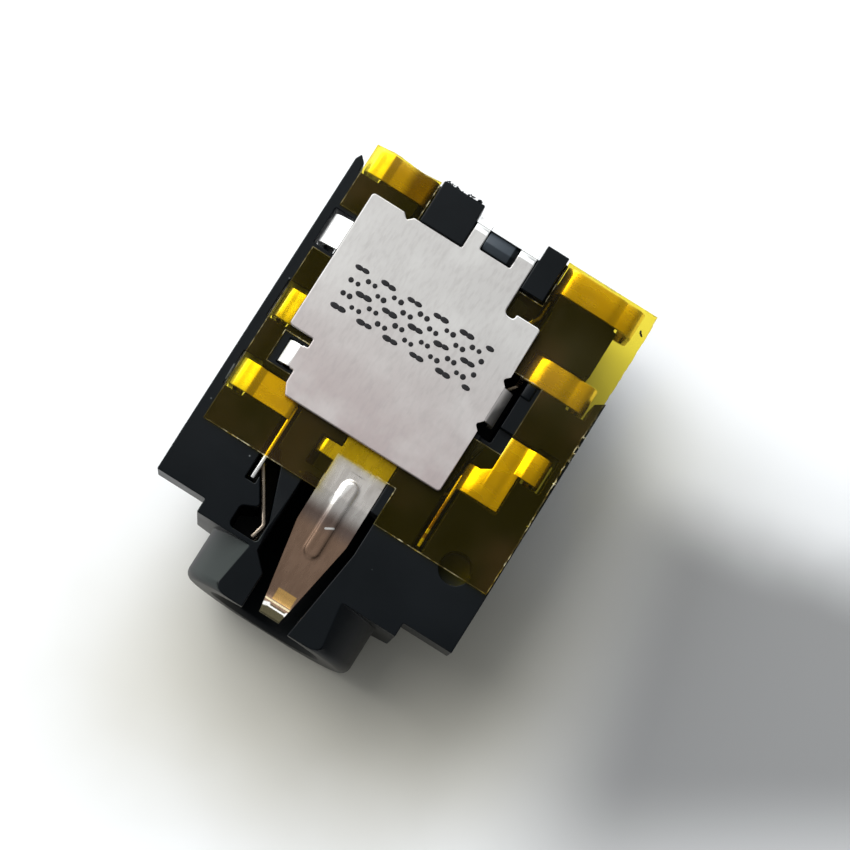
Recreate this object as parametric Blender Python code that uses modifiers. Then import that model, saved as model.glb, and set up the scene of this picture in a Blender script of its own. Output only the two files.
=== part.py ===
"""Mid-mount 3.5 mm audio jack socket, six terminals, built in metres with +Z up.

The plug goes in along +Y. The mouth is at the lowest Y and the origin is under the middle
of the body. From the bottom up it is a black moulding, six stamped contacts, one sheet of
amber film and a stamped cover plate whose tabs fold down through gaps in the film.
Places along the body are distances from the mouth.
"""
import math

import bmesh
import bpy
from mathutils import Matrix, Vector

# Body
LENGTH = 0.01435
WING_WIDTH = 0.01056
CORE_WIDTH = 0.00712
AXIS_BELOW_MIDDLE = 0.000085
DECK_HEIGHT = 0.00517
WING_THICKNESS = 0.00197
CORE_CHAMFER = 0.0006
COLLAR_FRONT = 0.0017
WING_FRONT = 0.00217
LEFT_WING_INSET = 0.00062
RIGHT_WING_TRAIL = 0.0002
WING_CORNER = 0.0002
FLOOR_INSET = 0.00088
RAIL_WIDTH = 0.00031

# Nose and bore
NOSE_DIAMETER = 0.0059
NOSE_EDGE_RADIUS = 0.0003
BORE_DIAMETER = 0.0036
MOUTH_CHAMFER = 0.00018
SLOPE_START = 0.0037
SLOPE_DROP = 0.00042

# Trench over the tongue
TRENCH_REAR = 0.0045
TRENCH_STEP = 0.0017
TRENCH_LEFT = 0.00138
TRENCH_RIGHT = 0.00118
TRENCH_MOUTH_LEFT = 0.00086
TRENCH_MOUTH_RIGHT = 0.0007

# Rear posts and the peg between the plate's rear tabs
POST_RISE = 0.00033
REAR_FACE_INSET = 0.00055
FLOOR_REAR_INSET = 0.00015
LEFT_POST_INNER = 0.00107
LEFT_POST_OUTER = 0.00257
LEFT_POST_REACH = 0.00146
RIGHT_POST_INNER = 0.00116
RIGHT_POST_OUTER = 0.00195
RIGHT_POST_REACH = 0.00159
PEG_WIDTH = 0.00104
PEG_REACH = 0.00121
PEG_RISE = 0.00039
LUG_LEAD = 0.00077
LUG_LENGTH = 0.00046
LUG_INNER = 0.00218
LUG_OUTER = 0.00322
DIMPLE_PLACE = 0.0044
DIMPLE_INSET = 0.00126
DIMPLE_DIAMETER = 0.00102
DIMPLE_DEPTH = 0.0003

# Stamped contacts
SHEET = 0.00015
SPRING_SHEET = 0.00012
FIT = 0.00003
SEAT_DEPTH = 0.00024
CREST_RISE = 0.00008
CREST_RADIUS = 0.0004
LEG_INSET = 0.00041
FOOT_REACH = 0.00045
FOOT_STAND = 0.00002
BEND_RADIUS = 0.00018
CREST_INSET = 0.00103
STEP_LENGTH = 0.00022
WALL_OFFSET = 0.0027
REAR_WALL_OFFSET = 0.00216
SPRING_HALF_HEIGHT = 0.0006
SPRING_PRELOAD = 0.0004
SPRING_TAIL = 0.0005
POCKET_MARGIN = 0.00012
WINDOW_MARGIN = 0.00014

FRONT_LEFT_PLACE = 0.00603
FRONT_LEFT_WIDTH = 0.00094
FRONT_LEFT_BLADE_END = 0.00347
FRONT_LEFT_ARM_START = 0.00415
FRONT_LEFT_TOUCH = 0.00249
FRONT_LEFT_PRELOAD = 0.00016
FRONT_LEFT_POCKET_SIDE = 0.00254
FRONT_LEFT_POCKET_INNER = 0.00152
FRONT_LEFT_POCKET_HEEL = 0.0001
FRONT_LEFT_ARM_DEPTH = 0.00087
BLADE_HEIGHT = 0.0008
SLEEVE_FORWARD = 0.000057
SLEEVE_WIDTH = 0.00104
REAR_LEFT_INSET = 0.00053
REAR_LEFT_WIDTH = 0.0009
REAR_LEFT_REACH = 0.00242
REAR_RIGHT_INSET = 0.00055
REAR_RIGHT_WIDTH = 0.0009
REAR_RIGHT_REACH = 0.0026
MID_RIGHT_FORWARD = 0.000075
MID_RIGHT_WIDTH = 0.00092
MID_RIGHT_REACH = 0.00207
FRONT_RIGHT_PLACE = 0.00829
FRONT_RIGHT_WIDTH = 0.00094
FRONT_RIGHT_WALL_PLACE = 0.00698
FRONT_RIGHT_WALL_WIDTH = 0.0009
FRONT_RIGHT_PAD_INSET = 0.00112
FRONT_RIGHT_NECK_SHARE = 3 / 11
FRONT_RIGHT_BLADE_END = 0.0044
FRONT_RIGHT_TOUCH = 0.0055

# Tongue of the sleeve contact
TONGUE_WIDTH = 0.00176
TONGUE_TAPER_START = 0.00318
TONGUE_TIP_WIDTH = 0.0007
TONGUE_BEND = 0.0044
TONGUE_CREST = 0.00082
TONGUE_TIP = 0.00018
TONGUE_TIP_RISE = 0.00022
TONGUE_PRELOAD = 0.0003
BEAD_FRONT = 0.00225
BEAD_REAR = 0.00508
BEAD_WIDTH = 0.00052
BEAD_HEIGHT = 0.00009
EAR_PLACE = 0.00526
EAR_WIDTH = 0.00094
EAR_OFFSET = 0.00148
EAR_DROP = 0.00055

# Film
FILM = 0.00006
FILM_LEFT_INSET = 0.00036
FILM_RIGHT_INSET = 0.00003
FILM_FRONT = 0.00422
FILM_REAR_INSET = 0.00005
FILM_WINDOW_LEFT = 0.00087
FILM_WINDOW_RIGHT = 0.00118
FILM_WINDOW_REAR = 0.00549
FILM_POST_GAP = 0.00006
FILM_TAB_GAP = 0.00028
FILM_NOTCH_RIGHT = 0.00336

# Cover plate
PLATE = 0.00018
PLATE_FRONT = 0.0061
PLATE_LEFT_INSET = 0.00104
PLATE_FRONT_LEFT_INSET = 0.00192
PLATE_RIGHT = 0.00236
PLATE_REAR_INSET = 0.00149
PLATE_RIGHT_REAR_INSET = 0.00235
PLATE_CORNER = 0.00012
RELIEF_RADIUS = 0.00018
TAB_BEND = 0.0003
LEFT_TAB_BACK = 0.000022
LEFT_TAB_WIDTH = 0.00099
LEFT_TAB_FALL = 0.00025
SIDE_TAB_FORWARD = 0.00001
SIDE_TAB_WIDTH = 0.0008
SIDE_TAB_REACH = 0.0006
SIDE_TAB_SLOT = 0.00034
TAB_DROP = 0.00085
RIGHT_TAB_LEAD = 0.00169
RIGHT_TAB_WIDTH = 0.00124
RIGHT_TAB_REACH = 0.00034
REAR_TAB_REACH = 0.0001

ARC_STEP = math.radians(11.25)
ROUND_SIDES = 64
WELD = 1e-8
OVERSHOOT = 0.0005

CURVE_SCALE = 1000.0
MOUTH_Y = -LENGTH / 2
LEFT = -1
RIGHT = 1

# Heights that follow the deck
AXIS_HEIGHT = DECK_HEIGHT / 2 - AXIS_BELOW_MIDDLE
WING_UNDERSIDE = DECK_HEIGHT - WING_THICKNESS
POST_TOP = DECK_HEIGHT + POST_RISE
PEG_TOP = DECK_HEIGHT + PEG_RISE
SPRING_LOW = AXIS_HEIGHT - SPRING_HALF_HEIGHT
SPRING_HIGH = AXIS_HEIGHT + SPRING_HALF_HEIGHT
FRONT_LEFT_ARM_TOP = DECK_HEIGHT - FRONT_LEFT_ARM_DEPTH
BASE_Z = DECK_HEIGHT - CREST_RISE - SHEET / 2
CREST_Z = BASE_Z + CREST_RISE
FILM_Z = DECK_HEIGHT + FIT / 2
PLATE_Z = FILM_Z + FILM + FIT
PLATE_MIDDLE_Z = PLATE_Z + PLATE / 2
FOOT_Z = WING_UNDERSIDE - FOOT_STAND + SHEET / 2
SEAT_FLOOR = DECK_HEIGHT - SEAT_DEPTH

# Offsets that follow the sides of the wings
WING_SIDE = WING_WIDTH / 2
RAIL_INNER = WING_SIDE - RAIL_WIDTH
FLOOR_HALF_WIDTH = WING_SIDE - FLOOR_INSET
LEG_OUTER = WING_SIDE - LEG_INSET
CREST_INNER = WING_SIDE - CREST_INSET
FRONT_RIGHT_PAD_OUTER = WING_SIDE - FRONT_RIGHT_PAD_INSET
DIMPLE_OFFSET = WING_SIDE - DIMPLE_INSET
FILM_LEFT = WING_SIDE - FILM_LEFT_INSET
FILM_RIGHT = WING_SIDE - FILM_RIGHT_INSET
PLATE_LEFT = WING_SIDE - PLATE_LEFT_INSET
PLATE_FRONT_LEFT = WING_SIDE - PLATE_FRONT_LEFT_INSET

# Places that follow the rear end
REAR_FACE = LENGTH - REAR_FACE_INSET
FLOOR_REAR = LENGTH - FLOOR_REAR_INSET
LEFT_WING_REAR = LENGTH - LEFT_WING_INSET
LEFT_POST_FRONT = LENGTH - LEFT_POST_REACH
RIGHT_POST_FRONT = LENGTH - RIGHT_POST_REACH
PEG_FRONT = LENGTH - PEG_REACH
FILM_REAR = LENGTH - FILM_REAR_INSET
PLATE_REAR = LENGTH - PLATE_REAR_INSET
PLATE_RIGHT_REAR = LENGTH - PLATE_RIGHT_REAR_INSET
REAR_LEFT_PLACE = LENGTH - REAR_LEFT_INSET
REAR_LEFT_TOUCH = REAR_LEFT_PLACE - REAR_LEFT_REACH
REAR_RIGHT_PLACE = LENGTH - REAR_RIGHT_INSET
REAR_RIGHT_TOUCH = REAR_RIGHT_PLACE - REAR_RIGHT_REACH

# The four legs on the left are nearly evenly spaced, and so are the three on the right
LEFT_PITCH = (REAR_LEFT_PLACE - FRONT_LEFT_PLACE) / 3
SLEEVE_PLACE = FRONT_LEFT_PLACE + LEFT_PITCH - SLEEVE_FORWARD
LEFT_TAB_PLACE = REAR_LEFT_PLACE - LEFT_PITCH + LEFT_TAB_BACK
SIDE_TAB_PLACE = (FRONT_LEFT_PLACE + SLEEVE_PLACE) / 2 - SIDE_TAB_FORWARD
MID_RIGHT_PLACE = (FRONT_RIGHT_PLACE + REAR_RIGHT_PLACE) / 2 - MID_RIGHT_FORWARD
MID_RIGHT_TOUCH = MID_RIGHT_PLACE - MID_RIGHT_REACH
RIGHT_TAB_PLACE = MID_RIGHT_PLACE - RIGHT_TAB_LEAD
LUG_PLACE = MID_RIGHT_PLACE - LUG_LEAD
RIGHT_WING_REAR = MID_RIGHT_PLACE + RIGHT_WING_TRAIL


def along(distance):
    """Y of a place that lies this far behind the mouth."""
    return MOUTH_Y + distance


def new_collection(name):
    collection = bpy.data.collections.new(name)
    bpy.context.scene.collection.children.link(collection)
    return collection


def new_material(name, colour, roughness, metallic, alpha=1.0):
    material = bpy.data.materials.new(name)
    material.use_nodes = True
    shader = material.node_tree.nodes["Principled BSDF"]
    shader.inputs["Base Color"].default_value = (*colour, 1.0)
    shader.inputs["Roughness"].default_value = roughness
    shader.inputs["Metallic"].default_value = metallic
    shader.inputs["Alpha"].default_value = alpha
    return material


def link(mesh, name, collection):
    piece = bpy.data.objects.new(name, mesh)
    collection.objects.link(piece)
    return piece


def snapped(bm):
    """Keep coordinates to a ten-thousandth of a millimetre, so that flush faces are in one plane."""
    for vert in bm.verts:
        vert.co = [round(value, 7) for value in vert.co]


def fillet(before, corner, after, radius):
    """Points of the arc that rounds one corner of an outline or a path."""
    arriving = (before - corner).normalized()
    leaving = (after - corner).normalized()
    half_angle = arriving.angle(leaving) / 2
    if radius <= 0 or half_angle > math.radians(89.5):
        return [corner]
    room = 0.49 * min((before - corner).length, (after - corner).length)
    reach = min(radius / math.tan(half_angle), room)
    used_radius = reach * math.tan(half_angle)
    bisector = (arriving + leaving).normalized()
    centre = corner + bisector * (used_radius / math.sin(half_angle))
    first = corner + arriving * reach - centre
    last = corner + leaving * reach - centre
    sweep = first.angle(last)
    steps = max(1, math.ceil(sweep / ARC_STEP))
    points = []
    for index in range(steps + 1):
        share = index / steps
        blend = (math.sin((1 - share) * sweep) * first + math.sin(share * sweep) * last)
        points.append(centre + blend / math.sin(sweep))
    return points


def rounded(points, radii, closed=True):
    """Outline with an arc at each corner. radii is one value, or one for each corner."""
    corners = [Vector(point) for point in points]
    if not isinstance(radii, (list, tuple)):
        radii = [radii] * len(corners)
    result = []
    for index, corner in enumerate(corners):
        at_end = index in (0, len(corners) - 1)
        if at_end and not closed:
            result.append(corner)
            continue
        after = corners[(index + 1) % len(corners)]
        result.extend(fillet(corners[index - 1], corner, after, radii[index]))
    return result


def extruded(name, outlines, start, end, collection, axis="Z"):
    """Solid from flat outlines, drawn as a filled curve; inner outlines are holes.

    The curve is drawn in millimetres, because Blender's fill loses details at metre scale.
    """
    curve = bpy.data.curves.new(name, "CURVE")
    curve.dimensions = "2D"
    curve.fill_mode = "BOTH"
    curve.extrude = (end - start) / 2 * CURVE_SCALE
    for outline in outlines:
        spline = curve.splines.new("POLY")
        spline.points.add(len(outline) - 1)
        for point, place in zip(spline.points, outline):
            point.co = (place[0] * CURVE_SCALE, place[1] * CURVE_SCALE, 0, 1)
        spline.use_cyclic_u = True
    drawn = link(curve, name + "_outline", collection)
    evaluated = drawn.evaluated_get(bpy.context.evaluated_depsgraph_get())
    mesh = bpy.data.meshes.new_from_object(evaluated)
    bpy.data.objects.remove(drawn)
    bpy.data.curves.remove(curve)
    turn = {
        "X": Matrix(((0, 0, 1, 0), (1, 0, 0, 0), (0, 1, 0, 0), (0, 0, 0, 1))),
        "Y": Matrix.Rotation(math.radians(90), 4, "X"),
        "Z": Matrix.Identity(4),
    }[axis]
    middle = {"X": Vector((1, 0, 0)), "Y": Vector((0, 1, 0)), "Z": Vector((0, 0, 1))}[axis]
    bm = bmesh.new()
    bm.from_mesh(mesh)
    bmesh.ops.remove_doubles(bm, verts=bm.verts, dist=WELD * CURVE_SCALE)
    bmesh.ops.transform(bm, matrix=Matrix.Scale(1 / CURVE_SCALE, 4), verts=bm.verts)
    bmesh.ops.transform(bm, matrix=turn, verts=bm.verts)
    bmesh.ops.translate(bm, vec=middle * (start + end) / 2, verts=bm.verts)
    bmesh.ops.recalc_face_normals(bm, faces=bm.faces)
    snapped(bm)
    bm.to_mesh(mesh)
    bm.free()
    mesh.name = name
    return link(mesh, name, collection)


def rectangle(x_range, y_range):
    (x_low, x_high), (y_low, y_high) = sorted(x_range), sorted(y_range)
    return [(x_low, y_low), (x_high, y_low), (x_high, y_high), (x_low, y_high)]


def block(name, x_range, y_range, z_range, collection, corner=0.0):
    """Upright block whose vertical edges are rounded."""
    outline = rounded([(*point, 0) for point in rectangle(x_range, y_range)], corner)
    return extruded(name, [outline], min(z_range), max(z_range), collection)


def strip(name, path, across, thickness, collection):
    """Bent strip of sheet: the path is its middle line and across is its width."""
    bm = bmesh.new()
    row = [bm.verts.new(point - across / 2) for point in path]
    edges = [bm.edges.new(pair) for pair in zip(row, row[1:])]
    swept = bmesh.ops.extrude_edge_only(bm, edges=edges)["geom"]
    far_side = [item for item in swept if isinstance(item, bmesh.types.BMVert)]
    bmesh.ops.translate(bm, vec=across, verts=far_side)
    mesh = bpy.data.meshes.new(name)
    bm.to_mesh(mesh)
    bm.free()
    piece = link(mesh, name, collection)
    thicken(piece, thickness)
    return piece


def thicken(piece, thickness):
    solid = piece.modifiers.new("Sheet", "SOLIDIFY")
    solid.thickness = thickness
    solid.offset = 0
    solid.use_even_offset = True


def boolean(piece, other, operation):
    modifier = piece.modifiers.new(other.name, "BOOLEAN")
    modifier.operation = operation
    modifier.solver = "EXACT"
    modifier.object = other
    other.hide_render = True
    other.display_type = "WIRE"


def baked(piece):
    """Give a piece the mesh that its modifiers make."""
    evaluated = piece.evaluated_get(bpy.context.evaluated_depsgraph_get())
    mesh = bpy.data.meshes.new_from_object(evaluated)
    piece.modifiers.clear()
    bm = bmesh.new()
    bm.from_mesh(mesh)
    snapped(bm)
    bm.to_mesh(mesh)
    bm.free()
    piece.data = mesh
    mesh.name = piece.name
    return piece


def fused(name, pieces, material, collection):
    """One stamping from strips that overlap where the sheet runs on."""
    for piece in pieces:
        baked(piece)
    whole = link(pieces[0].data.copy(), name, collection)
    for piece in pieces[1:]:
        boolean(whole, piece, "UNION")
    baked(whole)
    for piece in pieces:
        bpy.data.objects.remove(piece)
    whole.data.materials.clear()
    whole.data.materials.append(material)
    whole.data.shade_flat()
    return whole


def leg_path(side, top_z, crest_inner, bend):
    """Foot on the board, leg up beside the rail and the bend onto the deck."""
    leg_x = side * (LEG_OUTER - SHEET / 2)
    foot_x = side * (LEG_OUTER - FOOT_REACH)
    corners = [(foot_x, FOOT_Z), (leg_x, FOOT_Z), (leg_x, top_z), (side * crest_inner, top_z)]
    return corners, [0, BEND_RADIUS, bend, BEND_RADIUS]


def terminal_path(side, inner_x, wall_bottom=None):
    """Section of a terminal: foot, leg, crest, step down to the base and the inner wall."""
    corners, radii = leg_path(side, CREST_Z, CREST_INNER, CREST_RADIUS)
    corners.append((side * (CREST_INNER - STEP_LENGTH), BASE_Z))
    corners.append((side * inner_x, BASE_Z))
    radii += [BEND_RADIUS, BEND_RADIUS]
    if wall_bottom is not None:
        corners.append((side * inner_x, wall_bottom))
        radii.append(0)
    return rounded([(x, 0, z) for x, z in corners], radii, closed=False)


def terminal_strip(name, side, place, width, inner_x, wall_bottom, collection):
    path = terminal_path(side, inner_x, wall_bottom)
    shift = Vector((0, along(place), 0))
    path = [point + shift for point in path]
    return strip(name, path, Vector((0, width, 0)), SHEET, collection)


def arm_path(side, wall_x, start, hold, touch, preload=SPRING_PRELOAD):
    """Line of a spring seen from above: along the wall, in to the plug and out again."""
    touch_x = side * (BORE_DIAMETER / 2 - preload)
    tail_x = side * (BORE_DIAMETER / 2 - preload / 4)
    return [
        (side * wall_x, along(start)),
        (side * wall_x, along(hold)),
        (touch_x, along(touch)),
        (tail_x, along(touch - SPRING_TAIL)),
    ]


def arm_strip(name, corners, low, high, collection):
    middle = (low + high) / 2
    path = rounded([(x, y, middle) for x, y in corners], BEND_RADIUS, closed=False)
    return strip(name, path, Vector((0, 0, high - low)), SPRING_SHEET, collection)


def blade(name, side, wall_x, front, rear, collection):
    """Upright blade that stands in its slot ahead of the wall, under the film."""
    x_range = (side * (wall_x - SPRING_SHEET / 2), side * (wall_x + SPRING_SHEET / 2))
    z_range = (BASE_Z - BLADE_HEIGHT, BASE_Z)
    return block(name, x_range, (along(front), along(rear)), z_range, collection)


def side_contact(name, side, place, width, hold, touch, wall_x, material, collection, scratch):
    """Contact with a terminal at one end of its base and a side spring at the other."""
    terminal = terminal_strip(name + "_terminal", side, place, width, wall_x, SPRING_LOW, scratch)
    corners = arm_path(side, wall_x, place, hold, touch)
    arm = arm_strip(name + "_arm", corners, SPRING_LOW + FIT, SPRING_HIGH, scratch)
    return fused(name, [terminal, arm], material, collection)


def front_left_contact(material, collection, scratch):
    name = "front_left_contact"
    terminal = terminal_strip(name + "_terminal", LEFT, FRONT_LEFT_PLACE, FRONT_LEFT_WIDTH,
                              WALL_OFFSET, SPRING_LOW, scratch)
    upright = blade(name + "_blade", LEFT, WALL_OFFSET, FRONT_LEFT_BLADE_END,
                    FRONT_LEFT_PLACE, scratch)
    corners = arm_path(LEFT, WALL_OFFSET, FRONT_LEFT_PLACE, FRONT_LEFT_ARM_START,
                       FRONT_LEFT_TOUCH, FRONT_LEFT_PRELOAD)
    arm = arm_strip(name + "_arm", corners, SPRING_LOW + FIT, FRONT_LEFT_ARM_TOP, scratch)
    return fused(name, [terminal, upright, arm], material, collection)


def front_right_pad():
    """Outline of the stepped pad between the terminal and the inner wall."""
    rear = along(FRONT_RIGHT_PLACE + FRONT_RIGHT_WIDTH / 2)
    jog = along(FRONT_RIGHT_WALL_PLACE + FRONT_RIGHT_WALL_WIDTH / 2)
    front = along(FRONT_RIGHT_WALL_PLACE - FRONT_RIGHT_WALL_WIDTH / 2)
    inner = WALL_OFFSET + BEND_RADIUS * 2
    neck = inner + FRONT_RIGHT_NECK_SHARE * (FRONT_RIGHT_PAD_OUTER - inner)
    return [(neck, rear, 0), (FRONT_RIGHT_PAD_OUTER, rear, 0), (FRONT_RIGHT_PAD_OUTER, front, 0),
            (inner, front, 0), (inner, jog, 0), (neck, jog + BEND_RADIUS, 0)]


def front_right_contact(material, collection, scratch):
    name = "front_right_contact"
    terminal = terminal_strip(name + "_terminal", RIGHT, FRONT_RIGHT_PLACE, FRONT_RIGHT_WIDTH,
                              FRONT_RIGHT_PAD_OUTER - 2 * BEND_RADIUS, None, scratch)
    pad = extruded(name + "_pad", [front_right_pad()], BASE_Z - SHEET / 2, BASE_Z + SHEET / 2,
                   scratch)
    bend = [(WALL_OFFSET + 3 * BEND_RADIUS, BASE_Z), (WALL_OFFSET, BASE_Z), (WALL_OFFSET, SPRING_LOW)]
    wall_y = along(FRONT_RIGHT_WALL_PLACE)
    path = rounded([(x, wall_y, z) for x, z in bend], BEND_RADIUS, closed=False)
    wall = strip(name + "_wall", path, Vector((0, FRONT_RIGHT_WALL_WIDTH, 0)), SHEET, scratch)
    upright = blade(name + "_blade", RIGHT, WALL_OFFSET, FRONT_RIGHT_BLADE_END,
                    FRONT_RIGHT_WALL_PLACE, scratch)
    hold = FRONT_RIGHT_WALL_PLACE - FRONT_RIGHT_WALL_WIDTH / 2
    corners = arm_path(RIGHT, WALL_OFFSET, FRONT_RIGHT_WALL_PLACE, hold, FRONT_RIGHT_TOUCH)
    arm = arm_strip(name + "_arm", corners, SPRING_LOW + FIT, SPRING_HIGH, scratch)
    return fused(name, [pad, terminal, wall, upright, arm], material, collection)


def tongue_profile():
    """Side view of the tongue: flat base, long slope, contact crest and lifted tip."""
    bore_top = AXIS_HEIGHT + BORE_DIAMETER / 2
    crest_z = bore_top - TONGUE_PRELOAD + SHEET / 2
    rear = along(SLEEVE_PLACE + SLEEVE_WIDTH / 2)
    corners = [(0, rear, BASE_Z), (0, along(TONGUE_BEND), BASE_Z), (0, along(TONGUE_CREST), crest_z),
               (0, along(TONGUE_TIP), crest_z + TONGUE_TIP_RISE)]
    return rounded(corners, [0, 5 * BEND_RADIUS, 2 * BEND_RADIUS, 0], closed=False)


def tongue_half_width(y):
    """Half width of the tongue: parallel at the base, tapering from the bend to the tip."""
    taper_start = along(TONGUE_TAPER_START)
    taper_end = along(TONGUE_TIP)
    share = min(1.0, max(0.0, (taper_start - y) / (taper_start - taper_end)))
    return (TONGUE_WIDTH + (TONGUE_TIP_WIDTH - TONGUE_WIDTH) * share) / 2


def bead_lift(x, y):
    """Height of the pressed rib over the sheet at one point of the tongue."""
    half = BEAD_WIDTH / 2
    front = along(BEAD_FRONT) + half
    rear = along(BEAD_REAR) - half
    nearest = min(max(y, front), rear)
    distance = math.hypot(x, y - nearest) / half
    return BEAD_HEIGHT * math.cos(math.pi / 2 * distance) if distance < 1 else 0.0


def tongue(name, scratch):
    """Tongue as one bent surface, fine enough for its pressed rib, given the sheet's thickness."""
    profile = tongue_profile()
    lengths = [0.0]
    for before, after in zip(profile, profile[1:]):
        lengths.append(lengths[-1] + (after - before).length)
    rows, columns = 56, 12
    bm = bmesh.new()
    bmesh.ops.create_grid(bm, x_segments=columns, y_segments=rows, size=0.5)
    for vert in bm.verts:
        reach = (0.5 - vert.co.y) * lengths[-1]
        index = min(len(lengths) - 2, sum(1 for length in lengths[1:-1] if length < reach))
        share = (reach - lengths[index]) / (lengths[index + 1] - lengths[index])
        point = profile[index].lerp(profile[index + 1], share)
        heading = profile[index + 1] - profile[index]
        upward = Vector((1, 0, 0)).cross(heading).normalized()
        upward = upward if upward.z > 0 else -upward
        x = vert.co.x * 2 * tongue_half_width(point.y)
        vert.co = Vector((x, point.y, point.z)) + upward * bead_lift(x, point.y)
    mesh = bpy.data.meshes.new(name)
    bm.to_mesh(mesh)
    bm.free()
    piece = link(mesh, name, scratch)
    thicken(piece, SHEET)
    return piece


def sleeve_contact(material, collection, scratch):
    """Ground contact: left terminal, base under the plate and the tongue over the mouth."""
    name = "sleeve_contact"
    terminal = terminal_strip(name + "_terminal", LEFT, SLEEVE_PLACE, SLEEVE_WIDTH,
                              TONGUE_WIDTH / 4, None, scratch)
    ear_bottom = BASE_Z - EAR_DROP
    bend = [(0, BASE_Z), (-EAR_OFFSET, BASE_Z), (-EAR_OFFSET, ear_bottom)]
    path = rounded([(x, along(EAR_PLACE), z) for x, z in bend], BEND_RADIUS, closed=False)
    ear = strip(name + "_ear", path, Vector((0, EAR_WIDTH, 0)), SHEET, scratch)
    return fused(name, [tongue(name + "_tongue", scratch), terminal, ear], material, collection)


def film_outline():
    """Outer edge of the film, with its gaps for the posts, the left tab and the tongue."""
    tab_rear = along(LEFT_TAB_PLACE + LEFT_TAB_WIDTH / 2 + FILM_TAB_GAP)
    tab_front = along(LEFT_TAB_PLACE - LEFT_TAB_WIDTH / 2 - FILM_TAB_GAP)
    inner = -(PLATE_LEFT - FILM_TAB_GAP)
    post_left = -(LEFT_POST_OUTER + FILM_POST_GAP)
    post_right = RIGHT_POST_OUTER + FILM_POST_GAP
    post_front = along(RIGHT_POST_FRONT - FILM_POST_GAP)
    front = along(FILM_FRONT)
    rear = along(FILM_REAR)
    window = along(FILM_WINDOW_REAR)
    return [
        (-FILM_LEFT, front), (-FILM_WINDOW_LEFT, front), (-FILM_WINDOW_LEFT, window),
        (FILM_WINDOW_RIGHT, window), (FILM_WINDOW_RIGHT, front), (FILM_RIGHT, front),
        (FILM_RIGHT, rear), (post_right, rear), (post_right, post_front),
        (post_left, post_front), (post_left, rear), (-FILM_LEFT, rear),
        (-FILM_LEFT, tab_rear), (inner, tab_rear), (inner, tab_front), (-FILM_LEFT, tab_front),
    ]


def film_side_slot():
    """Slot that the plate's side tab passes through."""
    outer = -(PLATE_FRONT_LEFT + SIDE_TAB_REACH + FILM_TAB_GAP)
    inner = -(PLATE_FRONT_LEFT - FILM_TAB_GAP / 2)
    half = SIDE_TAB_WIDTH / 2 + FILM_TAB_GAP / 2
    return rectangle((outer, inner), (along(SIDE_TAB_PLACE - half), along(SIDE_TAB_PLACE + half)))


def film_lug_window():
    """Window over the lug and the channel of the right tab."""
    rear = along(LUG_PLACE + LUG_LENGTH / 2 + FILM_POST_GAP)
    front = along(RIGHT_TAB_PLACE - RIGHT_TAB_WIDTH / 2 - 2 * FILM_TAB_GAP)
    return rectangle((PLATE_RIGHT - FILM_TAB_GAP, FILM_NOTCH_RIGHT), (front, rear))


def insulating_film(material, collection):
    outlines = [film_outline(), film_side_slot(), film_lug_window()]
    film = extruded("insulating_film", outlines, FILM_Z, FILM_Z + FILM, collection)
    film.data.materials.append(material)
    return film


def plate_outline():
    """Edge of the flat plate with relief cuts beside each fold, corner by corner."""
    relief = RELIEF_RADIUS
    left = -PLATE_LEFT
    right = PLATE_RIGHT
    front = along(PLATE_FRONT)
    rear = along(PLATE_REAR)
    right_rear = along(PLATE_RIGHT_REAR)
    fold_rear = along(REAR_FACE + REAR_TAB_REACH - TAB_BEND)
    peg_side = PEG_WIDTH / 2 + FIT
    peg_front = along(PEG_FRONT - FIT)
    post_left = -(LEFT_POST_INNER - FIT)
    post_right = RIGHT_POST_INNER - FIT
    notch_left = -(LEFT_POST_OUTER + relief)
    side_front = along(SIDE_TAB_PLACE - SIDE_TAB_WIDTH / 2)
    side_rear = along(SIDE_TAB_PLACE + SIDE_TAB_WIDTH / 2)
    side_fold = -(PLATE_FRONT_LEFT + SIDE_TAB_REACH / 4)
    tab_front = along(RIGHT_TAB_PLACE - RIGHT_TAB_WIDTH / 2)
    tab_rear = along(RIGHT_TAB_PLACE + RIGHT_TAB_WIDTH / 2)
    small = PLATE_CORNER / 2
    corners = [
        ((left, rear), PLATE_CORNER),
        ((notch_left - 2 * relief, rear), small), ((notch_left - relief, rear - relief), small),
        ((notch_left, rear), small), ((post_left, rear), small),
        ((post_left, fold_rear), 0), ((-peg_side, fold_rear), 0),
        ((-peg_side, peg_front), small), ((peg_side, peg_front), small),
        ((peg_side, fold_rear), 0), ((post_right, fold_rear), 0),
        ((post_right, right_rear - relief), relief), ((post_right + 2 * relief, right_rear - relief), relief),
        ((post_right + 2 * relief, right_rear), small), ((right, right_rear), PLATE_CORNER),
        ((right, tab_rear + 2 * relief), small), ((right - relief, tab_rear + relief), relief / 2),
        ((right, tab_rear), small), ((right, tab_front), small),
        ((right - relief, tab_front - relief), relief / 2), ((right, tab_front - 2 * relief), small),
        ((right, front), PLATE_CORNER), ((-PLATE_FRONT_LEFT + relief, front), small),
        ((-PLATE_FRONT_LEFT, front + 2 * relief), small),
        ((-PLATE_FRONT_LEFT, side_front), small), ((side_fold, side_front), 0),
        ((side_fold, side_rear), 0), ((-PLATE_FRONT_LEFT, side_rear), small),
        ((-PLATE_FRONT_LEFT, side_rear + SIDE_TAB_SLOT), small),
        ((left, side_rear + SIDE_TAB_SLOT), PLATE_CORNER),
    ]
    points = [(x, y, 0) for (x, y), radius in corners]
    return rounded(points, [radius for point, radius in corners])


def plate_tab(name, corners, radii, across, thickness, scratch):
    path = rounded(corners, radii, closed=False)
    return strip(name, path, across, thickness, scratch)


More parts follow.
